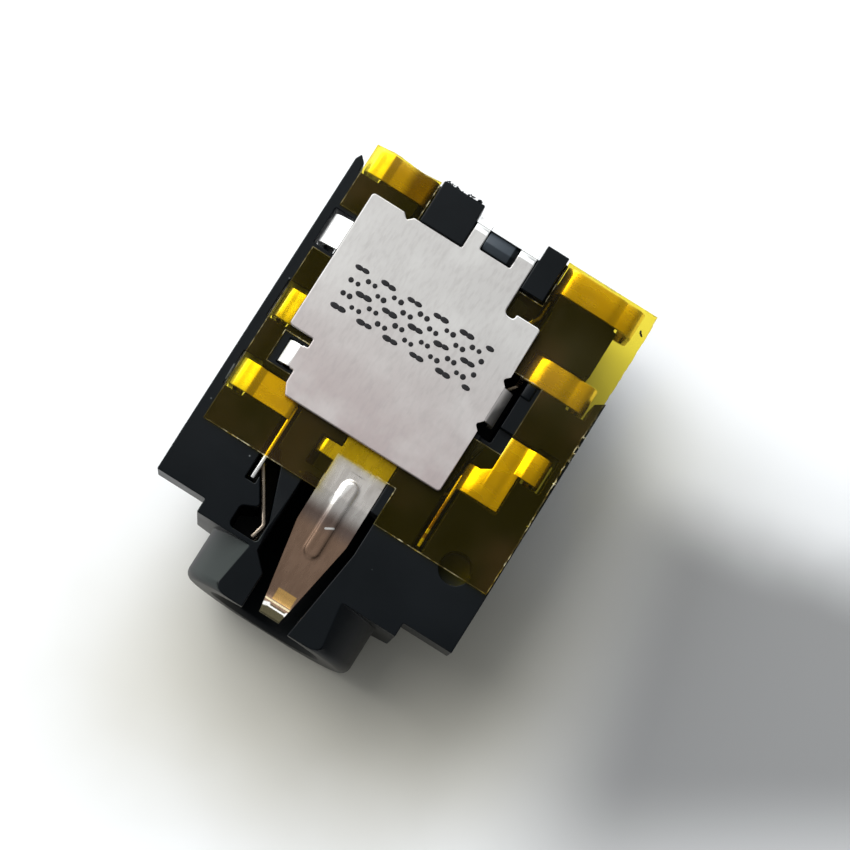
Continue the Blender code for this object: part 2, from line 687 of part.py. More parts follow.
def left_ground_tab(scratch):
    """Left tab of the plate: it slopes from the plate's edge and runs down to a foot on the board."""
    y = along(LEFT_TAB_PLACE)
    corners, radii = leg_path(LEFT, PLATE_MIDDLE_Z - LEFT_TAB_FALL, PLATE_LEFT, TAB_BEND)
    corners[-1:] = [(-PLATE_LEFT, PLATE_MIDDLE_Z), (-(PLATE_LEFT - OVERSHOOT), PLATE_MIDDLE_Z)]
    radii.append(0)
    corners = [(x, y, z) for x, z in corners]
    return plate_tab("left_tab", corners, radii, Vector((0, LEFT_TAB_WIDTH, 0)), PLATE, scratch)


def side_tab(name, side, edge, reach, place, width, scratch):
    """Short tab folded straight down beside the core."""
    y = along(place)
    outer = side * (edge + reach - PLATE / 2)
    inner = side * (edge - OVERSHOOT)
    low = PLATE_Z - TAB_DROP
    corners = [(inner, y, PLATE_MIDDLE_Z), (outer, y, PLATE_MIDDLE_Z), (outer, y, low)]
    return plate_tab(name, corners, [0, TAB_BEND, 0], Vector((0, width, 0)), PLATE, scratch)


def rear_tab(name, inner, outer, scratch):
    """Tab folded down over the rear face beside the peg."""
    x = (inner + outer) / 2
    inside = along(REAR_FACE + REAR_TAB_REACH - TAB_BEND) - OVERSHOOT / 2
    outside = along(REAR_FACE + REAR_TAB_REACH) + PLATE / 2
    low = PLATE_Z - TAB_DROP
    corners = [(x, inside, PLATE_MIDDLE_Z), (x, outside, PLATE_MIDDLE_Z), (x, outside, low)]
    width = Vector((abs(outer - inner) - FIT, 0, 0))
    return plate_tab(name, corners, [0, TAB_BEND, 0], width, PLATE, scratch)


def cover_plate(material, collection, scratch):
    flat = extruded("cover_plate_flat", [plate_outline()], PLATE_Z, PLATE_Z + PLATE, scratch)
    peg_side = PEG_WIDTH / 2 + FIT
    tabs = [
        left_ground_tab(scratch),
        side_tab("side_tab", LEFT, PLATE_FRONT_LEFT, SIDE_TAB_REACH, SIDE_TAB_PLACE,
                 SIDE_TAB_WIDTH - 2 * FIT, scratch),
        side_tab("right_tab", RIGHT, PLATE_RIGHT, RIGHT_TAB_REACH, RIGHT_TAB_PLACE,
                 RIGHT_TAB_WIDTH - 2 * FIT, scratch),
        rear_tab("rear_tab_left", -(LEFT_POST_INNER - FIT), -peg_side, scratch),
        rear_tab("rear_tab_right", RIGHT_POST_INNER - FIT, peg_side, scratch),
    ]
    return fused("cover_plate", [flat] + tabs, material, collection)


def wing_plan():
    """Outline of the two wings and the floor under the rear terminals."""
    side = WING_WIDTH / 2
    front = along(WING_FRONT)
    left_rear = along(LEFT_WING_REAR)
    right_rear = along(RIGHT_WING_REAR)
    rear = along(FLOOR_REAR)
    inner = side - RAIL_WIDTH
    return [
        (-side, front), (side, front), (side, right_rear),
        (inner, right_rear - WING_CORNER), (FLOOR_HALF_WIDTH, right_rear - WING_CORNER),
        (FLOOR_HALF_WIDTH, rear), (-FLOOR_HALF_WIDTH, rear), (-FLOOR_HALF_WIDTH, left_rear - WING_CORNER),
        (-inner, left_rear - WING_CORNER), (-side + RAIL_WIDTH / 3, left_rear), (-side, left_rear - WING_CORNER),
    ]


def core_section():
    """Section of the core across the plug: straight sides and chamfered lower edges."""
    half = CORE_WIDTH / 2
    return [(-half + CORE_CHAMFER, 0), (half - CORE_CHAMFER, 0), (half, CORE_CHAMFER),
            (half, DECK_HEIGHT), (-half, DECK_HEIGHT), (-half, CORE_CHAMFER)]


def turned(name, profile, collection):
    """Solid turned about the plug's axis; profile runs front to rear as radius and place."""
    mesh = bpy.data.meshes.new(name)
    bm = bmesh.new()
    verts = [bm.verts.new((radius, along(place), AXIS_HEIGHT)) for radius, place in profile]
    for pair in zip(verts, verts[1:]):
        bm.edges.new(pair)
    bm.to_mesh(mesh)
    bm.free()
    piece = link(mesh, name, collection)
    piece.data.transform(Matrix.Translation((0, 0, -AXIS_HEIGHT)))
    piece.location.z = AXIS_HEIGHT
    screw = piece.modifiers.new("Turn", "SCREW")
    screw.axis = "Y"
    screw.steps = ROUND_SIDES
    screw.render_steps = ROUND_SIDES
    screw.use_merge_vertices = True
    screw.merge_threshold = WELD
    screw.use_normal_calculate = True
    baked(piece)
    mesh = piece.data
    bm = bmesh.new()
    bm.from_mesh(mesh)
    bmesh.ops.remove_doubles(bm, verts=bm.verts, dist=WELD)
    bmesh.ops.recalc_face_normals(bm, faces=bm.faces)
    bm.to_mesh(mesh)
    bm.free()
    return piece


def nose(collection):
    radius = NOSE_DIAMETER / 2
    edge = NOSE_EDGE_RADIUS
    profile = [(0, 0)]
    for step in range(5):
        angle = math.radians(90) * step / 4
        profile.append((radius - edge + edge * math.sin(angle), edge - edge * math.cos(angle)))
    profile += [(radius, COLLAR_FRONT + OVERSHOOT), (0, COLLAR_FRONT + OVERSHOOT)]
    return turned("nose", profile, collection)


def bore(collection):
    radius = BORE_DIAMETER / 2
    wide = radius + MOUTH_CHAMFER
    profile = [(0, -OVERSHOOT), (wide + OVERSHOOT, -OVERSHOOT), (radius, MOUTH_CHAMFER),
               (radius, LENGTH + OVERSHOOT), (0, LENGTH + OVERSHOOT)]
    return turned("bore", profile, collection)


def trench_outline():
    """Opening over the tongue, wide over the body and narrow through the nose."""
    return [
        (-TRENCH_LEFT, along(TRENCH_REAR), 0), (-TRENCH_LEFT, along(TRENCH_STEP), 0),
        (-TRENCH_MOUTH_LEFT, along(TRENCH_STEP) - (TRENCH_LEFT - TRENCH_MOUTH_LEFT), 0),
        (-TRENCH_MOUTH_LEFT, along(-OVERSHOOT), 0), (TRENCH_MOUTH_RIGHT, along(-OVERSHOOT), 0),
        (TRENCH_RIGHT, along((TRENCH_STEP + TRENCH_REAR) / 2), 0), (TRENCH_RIGHT, along(TRENCH_REAR), 0),
    ]


def slope_section():
    """Side view of the wedge taken off the top between the film and the mouth."""
    grade = SLOPE_DROP / SLOPE_START
    beyond = 2 * SLOPE_START
    low = DECK_HEIGHT - grade * (SLOPE_START + OVERSHOOT)
    high = DECK_HEIGHT + grade * (beyond - SLOPE_START)
    over_nose = AXIS_HEIGHT + NOSE_DIAMETER
    return [(along(-OVERSHOOT), low), (along(beyond), high), (along(beyond), over_nose),
            (along(-OVERSHOOT), over_nose)]


def peg_section():
    """Side view of the peg: a ridge near its front, with a slope down to the rear."""
    front = along(PEG_FRONT)
    rear = along(REAR_FACE)
    height = PEG_TOP - DECK_HEIGHT
    return [(front, DECK_HEIGHT - OVERSHOOT), (rear + height / 3, DECK_HEIGHT - OVERSHOOT),
            (rear + height / 3, PEG_TOP - 2 * height / 3), (front + 2 * height / 3, PEG_TOP),
            (front, DECK_HEIGHT + height / 4)]


def seat_cutter(name, side, place, width, inner_x, scratch):
    """Shallow seat in the deck for one contact's base."""
    half = width / 2 + FIT
    x_range = (side * (inner_x - SHEET / 2 - FIT), side * (CREST_INNER + STEP_LENGTH))
    y_range = (along(place) - half, along(place) + half)
    return block(name + "_seat", x_range, y_range, (SEAT_FLOOR, DECK_HEIGHT + OVERSHOOT), scratch)


def leg_window(name, side, place, width, scratch):
    """Window through the wing that a leg passes down to the board."""
    half = width / 2 + WINDOW_MARGIN
    x_range = (side * (LEG_OUTER - FOOT_REACH - WINDOW_MARGIN), side * RAIL_INNER)
    y_range = (along(place) - half, along(place) + half)
    z_range = (WING_UNDERSIDE - OVERSHOOT, DECK_HEIGHT + OVERSHOOT)
    return block(name + "_window", x_range, y_range, z_range, scratch)


def spring_pocket(name, side, wall_x, front, hold, top, scratch):
    """Pocket beside the bore in which the free end of one spring moves."""
    inner = BORE_DIAMETER / 2 - SPRING_PRELOAD - SPRING_SHEET / 2 - POCKET_MARGIN
    x_range = (side * inner, side * (wall_x + SHEET / 2 + POCKET_MARGIN))
    z_range = (SPRING_LOW - POCKET_MARGIN, top)
    return block(name + "_pocket", x_range, (along(front), along(hold)), z_range, scratch)


def wall_slot(name, side, wall_x, hold, rear, scratch):
    """Narrow slot that holds the upright wall of one contact."""
    x_range = (side * (wall_x - SHEET / 2 - FIT), side * (wall_x + SHEET / 2 + 2 * FIT))
    z_range = (SPRING_LOW - POCKET_MARGIN, DECK_HEIGHT + OVERSHOOT)
    y_range = (along(hold) - POCKET_MARGIN, along(rear))
    return block(name + "_wall_slot", x_range, y_range, z_range, scratch)


def front_left_pocket(scratch):
    """Open pocket around the hooked front spring, which shows beside the tongue."""
    touch_x = BORE_DIAMETER / 2 - FRONT_LEFT_PRELOAD
    start = FRONT_LEFT_ARM_START
    heel = FRONT_LEFT_TOUCH + FRONT_LEFT_POCKET_HEEL
    neck = heel + 2 * POCKET_MARGIN
    front = FRONT_LEFT_TOUCH - SPRING_TAIL - POCKET_MARGIN
    lean = (WALL_OFFSET - touch_x) / (start - FRONT_LEFT_TOUCH)
    left_gap = SPRING_SHEET + POCKET_MARGIN / 4
    right_gap = SPRING_SHEET / 2 + 2 * POCKET_MARGIN
    wall = WALL_OFFSET + left_gap
    neck_x = touch_x + lean * (neck - FRONT_LEFT_TOUCH) + left_gap
    side = FRONT_LEFT_POCKET_SIDE
    inner = FRONT_LEFT_POCKET_INNER
    outline = [
        (-wall, along(start), 0), (-neck_x, along(neck), 0),
        (-side, along(heel), 0), (-side, along(front), 0), (-inner, along(front), 0),
        (-inner, along(heel), 0), (-WALL_OFFSET + 2 * right_gap, along(start), 0),
        (-WALL_OFFSET + right_gap, along(start + SPRING_TAIL), 0),
        (-wall, along(start + SPRING_TAIL), 0),
    ]
    radii = [POCKET_MARGIN / 2, POCKET_MARGIN, BEND_RADIUS, BEND_RADIUS, POCKET_MARGIN,
             POCKET_MARGIN, POCKET_MARGIN, 0, 0]
    return extruded("front_left_pocket", [rounded(outline, radii)],
                    SPRING_LOW - POCKET_MARGIN, DECK_HEIGHT + OVERSHOOT, scratch)


def blade_slot(name, side, front, rear, bottom, scratch):
    half = SPRING_SHEET / 2 + POCKET_MARGIN
    x_range = (side * (WALL_OFFSET - half), side * (WALL_OFFSET + half))
    z_range = (bottom, DECK_HEIGHT + OVERSHOOT)
    y_range = (along(front) - POCKET_MARGIN, along(rear))
    return block(name + "_slot", x_range, y_range, z_range, scratch)


def housing_cutters(cutters):
    """Every opening of the moulding, each made from the sizes of the piece that it takes."""
    above = DECK_HEIGHT + OVERSHOOT
    tongue_half = TONGUE_WIDTH / 2 + FIT
    under_blade = BASE_Z - BLADE_HEIGHT - FIT
    pocket_roof = SPRING_HIGH + POCKET_MARGIN
    terminals = [
        ("front_left", LEFT, FRONT_LEFT_PLACE, FRONT_LEFT_WIDTH, WALL_OFFSET),
        ("sleeve", LEFT, SLEEVE_PLACE, SLEEVE_WIDTH, 0),
        ("rear_left", LEFT, REAR_LEFT_PLACE, REAR_LEFT_WIDTH, WALL_OFFSET),
        ("rear_right", RIGHT, REAR_RIGHT_PLACE, REAR_RIGHT_WIDTH, REAR_WALL_OFFSET),
        ("mid_right", RIGHT, MID_RIGHT_PLACE, MID_RIGHT_WIDTH, WALL_OFFSET),
        ("front_right", RIGHT, FRONT_RIGHT_PLACE, FRONT_RIGHT_WIDTH, FRONT_RIGHT_PAD_OUTER - 4 * BEND_RADIUS),
    ]
    springs = [
        ("rear_left", LEFT, WALL_OFFSET, REAR_LEFT_TOUCH, LEFT_POST_FRONT, LENGTH + OVERSHOOT),
        ("rear_right", RIGHT, REAR_WALL_OFFSET, REAR_RIGHT_TOUCH, RIGHT_POST_FRONT, LENGTH + OVERSHOOT),
        ("mid_right", RIGHT, WALL_OFFSET, MID_RIGHT_TOUCH, MID_RIGHT_PLACE - MID_RIGHT_WIDTH / 2,
         MID_RIGHT_PLACE + MID_RIGHT_WIDTH / 2 + FIT),
        ("front_right", RIGHT, WALL_OFFSET, FRONT_RIGHT_TOUCH,
         FRONT_RIGHT_WALL_PLACE - FRONT_RIGHT_WALL_WIDTH / 2,
         FRONT_RIGHT_WALL_PLACE + FRONT_RIGHT_WALL_WIDTH / 2 + FIT),
        ("front_left", LEFT, WALL_OFFSET, None, FRONT_LEFT_ARM_START,
         FRONT_LEFT_PLACE + FRONT_LEFT_WIDTH / 2 + FIT),
    ]
    pieces = [bore(cutters)]
    for name, side, place, width, inner_x in terminals:
        pieces.append(seat_cutter(name, side, place, width, inner_x, cutters))
        pieces.append(leg_window(name, side, place, width, cutters))
    pieces.append(leg_window("left_tab", LEFT, LEFT_TAB_PLACE, LEFT_TAB_WIDTH, cutters))
    for name, side, wall_x, touch, hold, rear in springs:
        pieces.append(wall_slot(name, side, wall_x, hold, rear, cutters))
        if touch is not None:
            front = touch - SPRING_TAIL - POCKET_MARGIN
            # The deck runs on over the front right spring, which slides in down its blade's slot.
            top = pocket_roof if name == "front_right" else above
            pieces.append(spring_pocket(name, side, wall_x, front, hold, top, cutters))
    pieces += [
        extruded("trench", [trench_outline()], AXIS_HEIGHT, above, cutters),
        extruded("slope", [slope_section()], -WING_WIDTH, WING_WIDTH, cutters, axis="X"),
        block("tongue_seat", (-tongue_half, tongue_half),
              (along(TRENCH_REAR) - OVERSHOOT, along(SLEEVE_PLACE + SLEEVE_WIDTH / 2) + FIT),
              (SEAT_FLOOR, above), cutters),
        block("ear_seat", (-EAR_OFFSET - SHEET / 2 - FIT, 0),
              (along(EAR_PLACE - EAR_WIDTH / 2) - FIT, along(EAR_PLACE + EAR_WIDTH / 2) + FIT),
              (SEAT_FLOOR, above), cutters),
        block("ear_slot", (-EAR_OFFSET - SHEET / 2 - FIT, -EAR_OFFSET + SHEET / 2 + 2 * FIT),
              (along(EAR_PLACE - EAR_WIDTH / 2) - FIT, along(EAR_PLACE + EAR_WIDTH / 2) + FIT),
              (BASE_Z - EAR_DROP - FIT, above), cutters),
        block("front_right_pad_seat",
              (WALL_OFFSET - SHEET, FRONT_RIGHT_PAD_OUTER + FIT),
              (along(FRONT_RIGHT_WALL_PLACE - FRONT_RIGHT_WALL_WIDTH / 2) - FIT,
               along(FRONT_RIGHT_PLACE + FRONT_RIGHT_WIDTH / 2) + 2 * FIT),
              (SEAT_FLOOR, above), cutters),
        front_left_pocket(cutters),
        blade_slot("front_left_blade", LEFT, FRONT_LEFT_BLADE_END, FRONT_LEFT_PLACE, under_blade,
                   cutters),
        blade_slot("front_right_blade", RIGHT, FRONT_RIGHT_BLADE_END, FRONT_RIGHT_WALL_PLACE,
                   pocket_roof - OVERSHOOT / 2, cutters),
        block("rear_left_corner", (-WING_WIDTH, -LEFT_POST_OUTER),
              (along(FLOOR_REAR), along(LENGTH) + OVERSHOOT), (-OVERSHOOT, above), cutters),
        block("rear_right_corner", (RIGHT_POST_OUTER, WING_WIDTH),
              (along(FLOOR_REAR), along(LENGTH) + OVERSHOOT), (-OVERSHOOT, above), cutters),
        block("rear_recess", (-LEFT_POST_INNER - FIT, RIGHT_POST_INNER + FIT),
              (along(REAR_FACE), along(LENGTH) + OVERSHOOT), (-OVERSHOOT, above), cutters),
    ]
    pieces.append(tab_slot("side_tab", LEFT, PLATE_FRONT_LEFT + SIDE_TAB_REACH, SIDE_TAB_PLACE,
                           SIDE_TAB_WIDTH, cutters))
    pieces.append(tab_slot("right_tab", RIGHT, PLATE_RIGHT + RIGHT_TAB_REACH, RIGHT_TAB_PLACE,
                           RIGHT_TAB_WIDTH, cutters))
    return pieces


def tab_slot(name, side, outer, place, width, cutters):
    """Slot beside the core that a folded tab of the plate drops into."""
    x_range = (side * (outer + FIT), side * (outer - PLATE - TAB_BEND))
    y_range = (along(place - width / 2) - FIT, along(place + width / 2) + FIT)
    z_range = (PLATE_Z - TAB_DROP - POCKET_MARGIN, DECK_HEIGHT + OVERSHOOT)
    return block(name + "_slot", x_range, y_range, z_range, cutters)


def dimple(cutters):
    """Round gate recess in the deck, half under the film."""
    centre = Vector((DIMPLE_OFFSET, along(DIMPLE_PLACE), 0))
    radius = DIMPLE_DIAMETER / 2
    outline = []
    for index in range(ROUND_SIDES // 2):
        angle = 4 * math.pi * index / ROUND_SIDES
        outline.append(centre + radius * Vector((math.cos(angle), math.sin(angle), 0)))
    return extruded("dimple", [outline], DECK_HEIGHT - DIMPLE_DEPTH, DECK_HEIGHT + OVERSHOOT, cutters)


def housing(material, collection, cutters):
    """Black moulding: core, wings, nose, posts, peg and lug joined, then every opening cut."""
    section = core_section()
    body = extruded("housing", [section], along(COLLAR_FRONT), along(LENGTH), collection, axis="Y")
    deck_low = DECK_HEIGHT - OVERSHOOT
    added = [
        extruded("wings", [wing_plan()], WING_UNDERSIDE, DECK_HEIGHT, cutters),
        nose(cutters),
        block("left_post", (-LEFT_POST_OUTER, -LEFT_POST_INNER),
              (along(LEFT_POST_FRONT), along(LENGTH)), (deck_low, POST_TOP), cutters),
        block("right_post", (RIGHT_POST_INNER, RIGHT_POST_OUTER),
              (along(RIGHT_POST_FRONT), along(LENGTH)), (deck_low, POST_TOP), cutters),
        extruded("peg", [peg_section()], -PEG_WIDTH / 2, PEG_WIDTH / 2, cutters, axis="X"),
        block("lug", (LUG_INNER, LUG_OUTER),
              (along(LUG_PLACE - LUG_LENGTH / 2), along(LUG_PLACE + LUG_LENGTH / 2)),
              (deck_low, FILM_Z + FILM), cutters),
    ]
    for piece in added:
        boolean(body, piece, "UNION")
    floor = block("under_nose", (-NOSE_DIAMETER, NOSE_DIAMETER),
                  (along(-OVERSHOOT), along(COLLAR_FRONT) + 2 * OVERSHOOT),
                  (-NOSE_DIAMETER, 0), cutters)
    for piece in [floor, dimple(cutters)] + housing_cutters(cutters):
        boolean(body, piece, "DIFFERENCE")
    body.data.materials.append(material)
    return body


def main():
    for item in list(bpy.data.objects):
        bpy.data.objects.remove(item)
    parts = new_collection("audio_jack_socket")
    cutters = new_collection("cutters")
    black = new_material("black_moulding", (0.012, 0.014, 0.017), 0.35, 0.0)
    steel = new_material("steel_plate", (0.55, 0.52, 0.5), 0.38, 1.0)
    plated = new_material("plated_contact", (0.62, 0.58, 0.52), 0.25, 1.0)
    amber = new_material("amber_film", (0.75, 0.42, 0.03), 0.2, 0.0, alpha=0.55)
    housing(black, parts, cutters)
    insulating_film(amber, parts)
    cover_plate(steel, parts, cutters)
    sleeve_contact(plated, parts, cutters)
    front_left_contact(plated, parts, cutters)
    front_right_contact(plated, parts, cutters)
    side_contact("rear_left_contact", LEFT, REAR_LEFT_PLACE, REAR_LEFT_WIDTH, LEFT_POST_FRONT,
                 REAR_LEFT_TOUCH, WALL_OFFSET, plated, parts, cutters)
    side_contact("rear_right_contact", RIGHT, REAR_RIGHT_PLACE, REAR_RIGHT_WIDTH, RIGHT_POST_FRONT,
                 REAR_RIGHT_TOUCH, REAR_WALL_OFFSET, plated, parts, cutters)
    side_contact("mid_right_contact", RIGHT, MID_RIGHT_PLACE, MID_RIGHT_WIDTH,
                 MID_RIGHT_PLACE - MID_RIGHT_WIDTH / 2, MID_RIGHT_TOUCH, WALL_OFFSET, plated,
                 parts, cutters)


main()
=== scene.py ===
# %% [markdown]
# # A board-mounted audio socket under its amber film
#
# The socket is about 14 mm long. Its solids are already built to size in another script, and this
# one gives them the finish of the real thing: moulded plastic, spring sheet, a rolled steel plate
# and a sheet of clear amber film. Every length here is in metres, and +Y is the way the plug goes in.

# %% Load the frame
import math
import random

import bpy
from mathutils import Matrix, Vector, noise


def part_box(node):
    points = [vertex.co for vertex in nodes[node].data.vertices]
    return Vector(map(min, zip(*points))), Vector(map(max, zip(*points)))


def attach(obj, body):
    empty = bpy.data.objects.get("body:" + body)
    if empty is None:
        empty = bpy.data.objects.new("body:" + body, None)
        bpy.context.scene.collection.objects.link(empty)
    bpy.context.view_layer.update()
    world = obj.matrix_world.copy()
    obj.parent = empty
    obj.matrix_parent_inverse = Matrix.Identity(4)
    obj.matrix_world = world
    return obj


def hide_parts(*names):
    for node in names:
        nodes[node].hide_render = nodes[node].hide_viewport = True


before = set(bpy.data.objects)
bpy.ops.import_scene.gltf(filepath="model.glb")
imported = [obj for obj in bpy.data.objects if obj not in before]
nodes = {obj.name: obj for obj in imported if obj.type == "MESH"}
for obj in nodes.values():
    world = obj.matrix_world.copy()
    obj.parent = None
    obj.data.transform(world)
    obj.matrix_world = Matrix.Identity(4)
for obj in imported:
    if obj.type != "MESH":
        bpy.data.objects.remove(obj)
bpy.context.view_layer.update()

MM = 0.001
BODY = "root"
print("solids:", sorted(nodes))

# %% [markdown]
# ## Places on the socket
#
# Pieces made here take their places from the solids, so that they still fit if a solid is packed
# again. The mouth is the lowest Y, and places along the body are easiest to read as distances from it.

# %% Read places from the solids
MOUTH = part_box("housing")[0].y
plate_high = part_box("cover_plate")[1]
film_low, film_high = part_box("insulating_film")


def along(distance):
    """Y of a place that lies this far behind the mouth."""
    return MOUTH + distance


print("film between z", round(film_low.z / MM, 3), "and", round(film_high.z / MM, 3), "mm")

# %% [markdown]
# ## The camera comes first
#
# The photograph looks almost straight down on the plate, leaning a little towards the mouth, and the
# socket lies turned by a third of a right angle. A long lens at ten centimetres gives the same weak
# perspective. Three angles describe that view better than a location typed by eye.

# %% Place the camera
CAMERA_DISTANCE = 100.3 * MM
CAMERA_LEAN = math.radians(7.9)
CAMERA_SIDE = math.radians(-0.38)
CAMERA_ROLL = math.radians(32.21)
CAMERA_FIELD = math.radians(14.74)
CAMERA_TARGET = Vector((0.908, 0.462, 5.2)) * MM


def portrait_camera():
    """Camera that looks down on the socket, leaning towards the mouth and rolled about its view."""
    view = Vector((math.sin(CAMERA_SIDE), math.sin(CAMERA_LEAN), -math.cos(CAMERA_LEAN))).normalized()
    level_right = view.cross(Vector((0, 1, 0))).normalized()
    level_up = level_right.cross(view)
    right = math.cos(CAMERA_ROLL) * level_right + math.sin(CAMERA_ROLL) * level_up
    up = right.cross(view)
    camera = bpy.data.objects.new("camera", bpy.data.cameras.new("camera"))
    bpy.context.scene.collection.objects.link(camera)
    camera.data.sensor_fit = "HORIZONTAL"
    camera.data.angle = CAMERA_FIELD
    camera.data.clip_start = 5 * MM
    camera.data.clip_end = 2000 * MM
    turn = Matrix((right, up, -view)).transposed().to_4x4()
    camera.matrix_world = Matrix.Translation(CAMERA_TARGET - CAMERA_DISTANCE * view) @ turn
    bpy.context.scene.camera = camera
    return camera


camera = portrait_camera()
bpy.context.scene.view_settings.view_transform = "Standard"
print("camera at", [round(value / MM, 1) for value in camera.location], "mm")

# %% [markdown]
# ## Shader maths as Python
#
# A material is easier to read as a formula than as a list of nodes. `Wire` wraps one output socket
# and gives it the usual operators, so `1 - mask * 0.4` adds the Math nodes by itself. `Finish` owns
# one material: its `node` method adds any other node, with its settings first and its inputs after.

# %% Define Wire and Finish
class Wire:
    """An output socket that can be used in arithmetic."""

    def __init__(self, finish, socket):
        self.finish = finish
        self.socket = socket

    def math(self, operation, *others):
        return self.finish.math(operation, self, *others)

    def __add__(self, other):
        return self.math("ADD", other)

    def __sub__(self, other):
        return self.math("SUBTRACT", other)

    def __mul__(self, other):
        return self.math("MULTIPLY", other)

    def __rsub__(self, other):
        return self.finish.math("SUBTRACT", other, self)

    __radd__ = __add__
    __rmul__ = __mul__


class Finish:
    """One procedural material, written on object coordinates."""

    def __init__(self, name):
        self.material = bpy.data.materials.new(name)
        self.material.use_nodes = True
        self.tree = self.material.node_tree
        self.shader = self.tree.nodes["Principled BSDF"]
        self.place = self.node("ShaderNodeTexCoord", out="Object")

    def node(self, kind, settings=None, out=0, **inputs):
        """Add a node; inputs are named with _ for a space, and a value or a Wire."""
        made = self.tree.nodes.new(kind)
        for name, value in (settings or {}).items():
            setattr(made, name, value)
        for name, value in inputs.items():
            key = int(name[1:]) if name[0] == "n" and name[1:].isdigit() else name.replace("_", " ")
            self.feed(made.inputs[key], value)
        return Wire(self, made.outputs[out])

    def feed(self, socket, value):
        if isinstance(value, Wire):
            self.tree.links.new(value.socket, socket)
        elif isinstance(value, tuple) and socket.type == "RGBA":
            socket.default_value = (*value, 1.0)
        else:
            socket.default_value = value

    def set(self, **inputs):
        """Give the surface shader its values and links."""
        for name, value in inputs.items():
            self.feed(self.shader.inputs[name.replace("_", " ")], value)

    def math(self, operation, *values):
        inputs = {"n%d" % index: value for index, value in enumerate(values)}
        return self.node("ShaderNodeMath", {"operation": operation}, **inputs)

    def most(self, first, *others):
        """The strongest of several masks at each point."""
        for other in others:
            first = self.math("MAXIMUM", first, other)
        return first

    def vector(self, operation, *values, out=0):
        inputs = {"n%d" % index: value for index, value in enumerate(values)}
        return self.node("ShaderNodeVectorMath", {"operation": operation}, out=out, **inputs)

    def stretched(self, x=1.0, y=1.0, z=1.0):
        """The place, stretched along the axes, for grain and streaks."""
        return self.node("ShaderNodeMapping", Vector=self.place, Scale=(x, y, z))

    def noise(self, scale, detail=3.0, roughness=0.5, vector=None):
        return self.node("ShaderNodeTexNoise", Vector=vector or self.place, Scale=scale,
                         Detail=detail, Roughness=roughness)

    def axis(self, letter):
        return self.node("ShaderNodeSeparateXYZ", out=letter, Vector=self.place)

    def facing(self, letter):
        """How far the surface faces along an axis, from -1 to 1."""
        normal = self.node("ShaderNodeTexCoord", out="Normal")
        return self.node("ShaderNodeSeparateXYZ", out=letter, Vector=normal)

    def step(self, value, low, high):
        """0 below low, 1 above high and smooth between them."""
        return self.node("ShaderNodeMapRange", {"interpolation_type": "SMOOTHSTEP"}, Value=value,
                         From_Min=low, From_Max=high)

    def band(self, value, low, high, soft):
        """1 between low and high, fading out over soft at both ends."""
        return self.step(value, low - soft, low) * (1 - self.step(value, high, high + soft))

    def stroke(self, start, end, width):
        """1 on a thin straight stroke between two places seen from above."""
        begin = Vector((*start, 0.0))
        run = Vector((*end, 0.0)) - begin
        flat = self.vector("MULTIPLY", self.place, (1.0, 1.0, 0.0))
        away = self.vector("SUBTRACT", flat, tuple(begin))
        reach = self.vector("DOT_PRODUCT", away, tuple(run / run.length_squared), out=1)
        reach = self.node("ShaderNodeClamp", Value=reach)
        nearest = self.node("ShaderNodeVectorMath", {"operation": "SCALE"}, n0=tuple(run), Scale=reach)
        gap = self.vector("LENGTH", self.vector("SUBTRACT", away, nearest), out=1)
        return 1 - self.step(gap, width * 0.4, width)

    def mix(self, share, first, second):
        return self.node("ShaderNodeMix", {"data_type": "RGBA"}, out=2, Factor=share, n6=first, n7=second)

    def bump(self, height, strength, distance):
        return self.node("ShaderNodeBump", Height=height, Strength=strength, Distance=distance)


print("shader helpers are ready")

# %% [markdown]
# ## Black moulded nylon
#
# The body is a glass-filled nylon, nearly black with a breath of blue. Seen from above it is dark,
# and only the faces that lean towards the window light up, so it needs a real gloss with little
# colour of its own. Scattered specks of dust and a patchy roughness keep it from looking too clean.
# The peg's top is painted a lighter grey, a painted reflection of the window, and the nose's left shoulder is painted
# greyer than the rest, as painted light where it faces the window.

# %% Make the moulding's finish
SPECK_GRID = 2600.0
PEG_SHEEN_LEVEL = 5.3 * MM
PEG_SIDES = (-0.75 * MM, 0.35 * MM)
SCRATCH = ((-4.98 * MM, along(5.6 * MM)), (-5.0 * MM, along(6.1 * MM)))
SHOULDER_INNER = -1.0 * MM
NOSE_END = along(2.1 * MM)


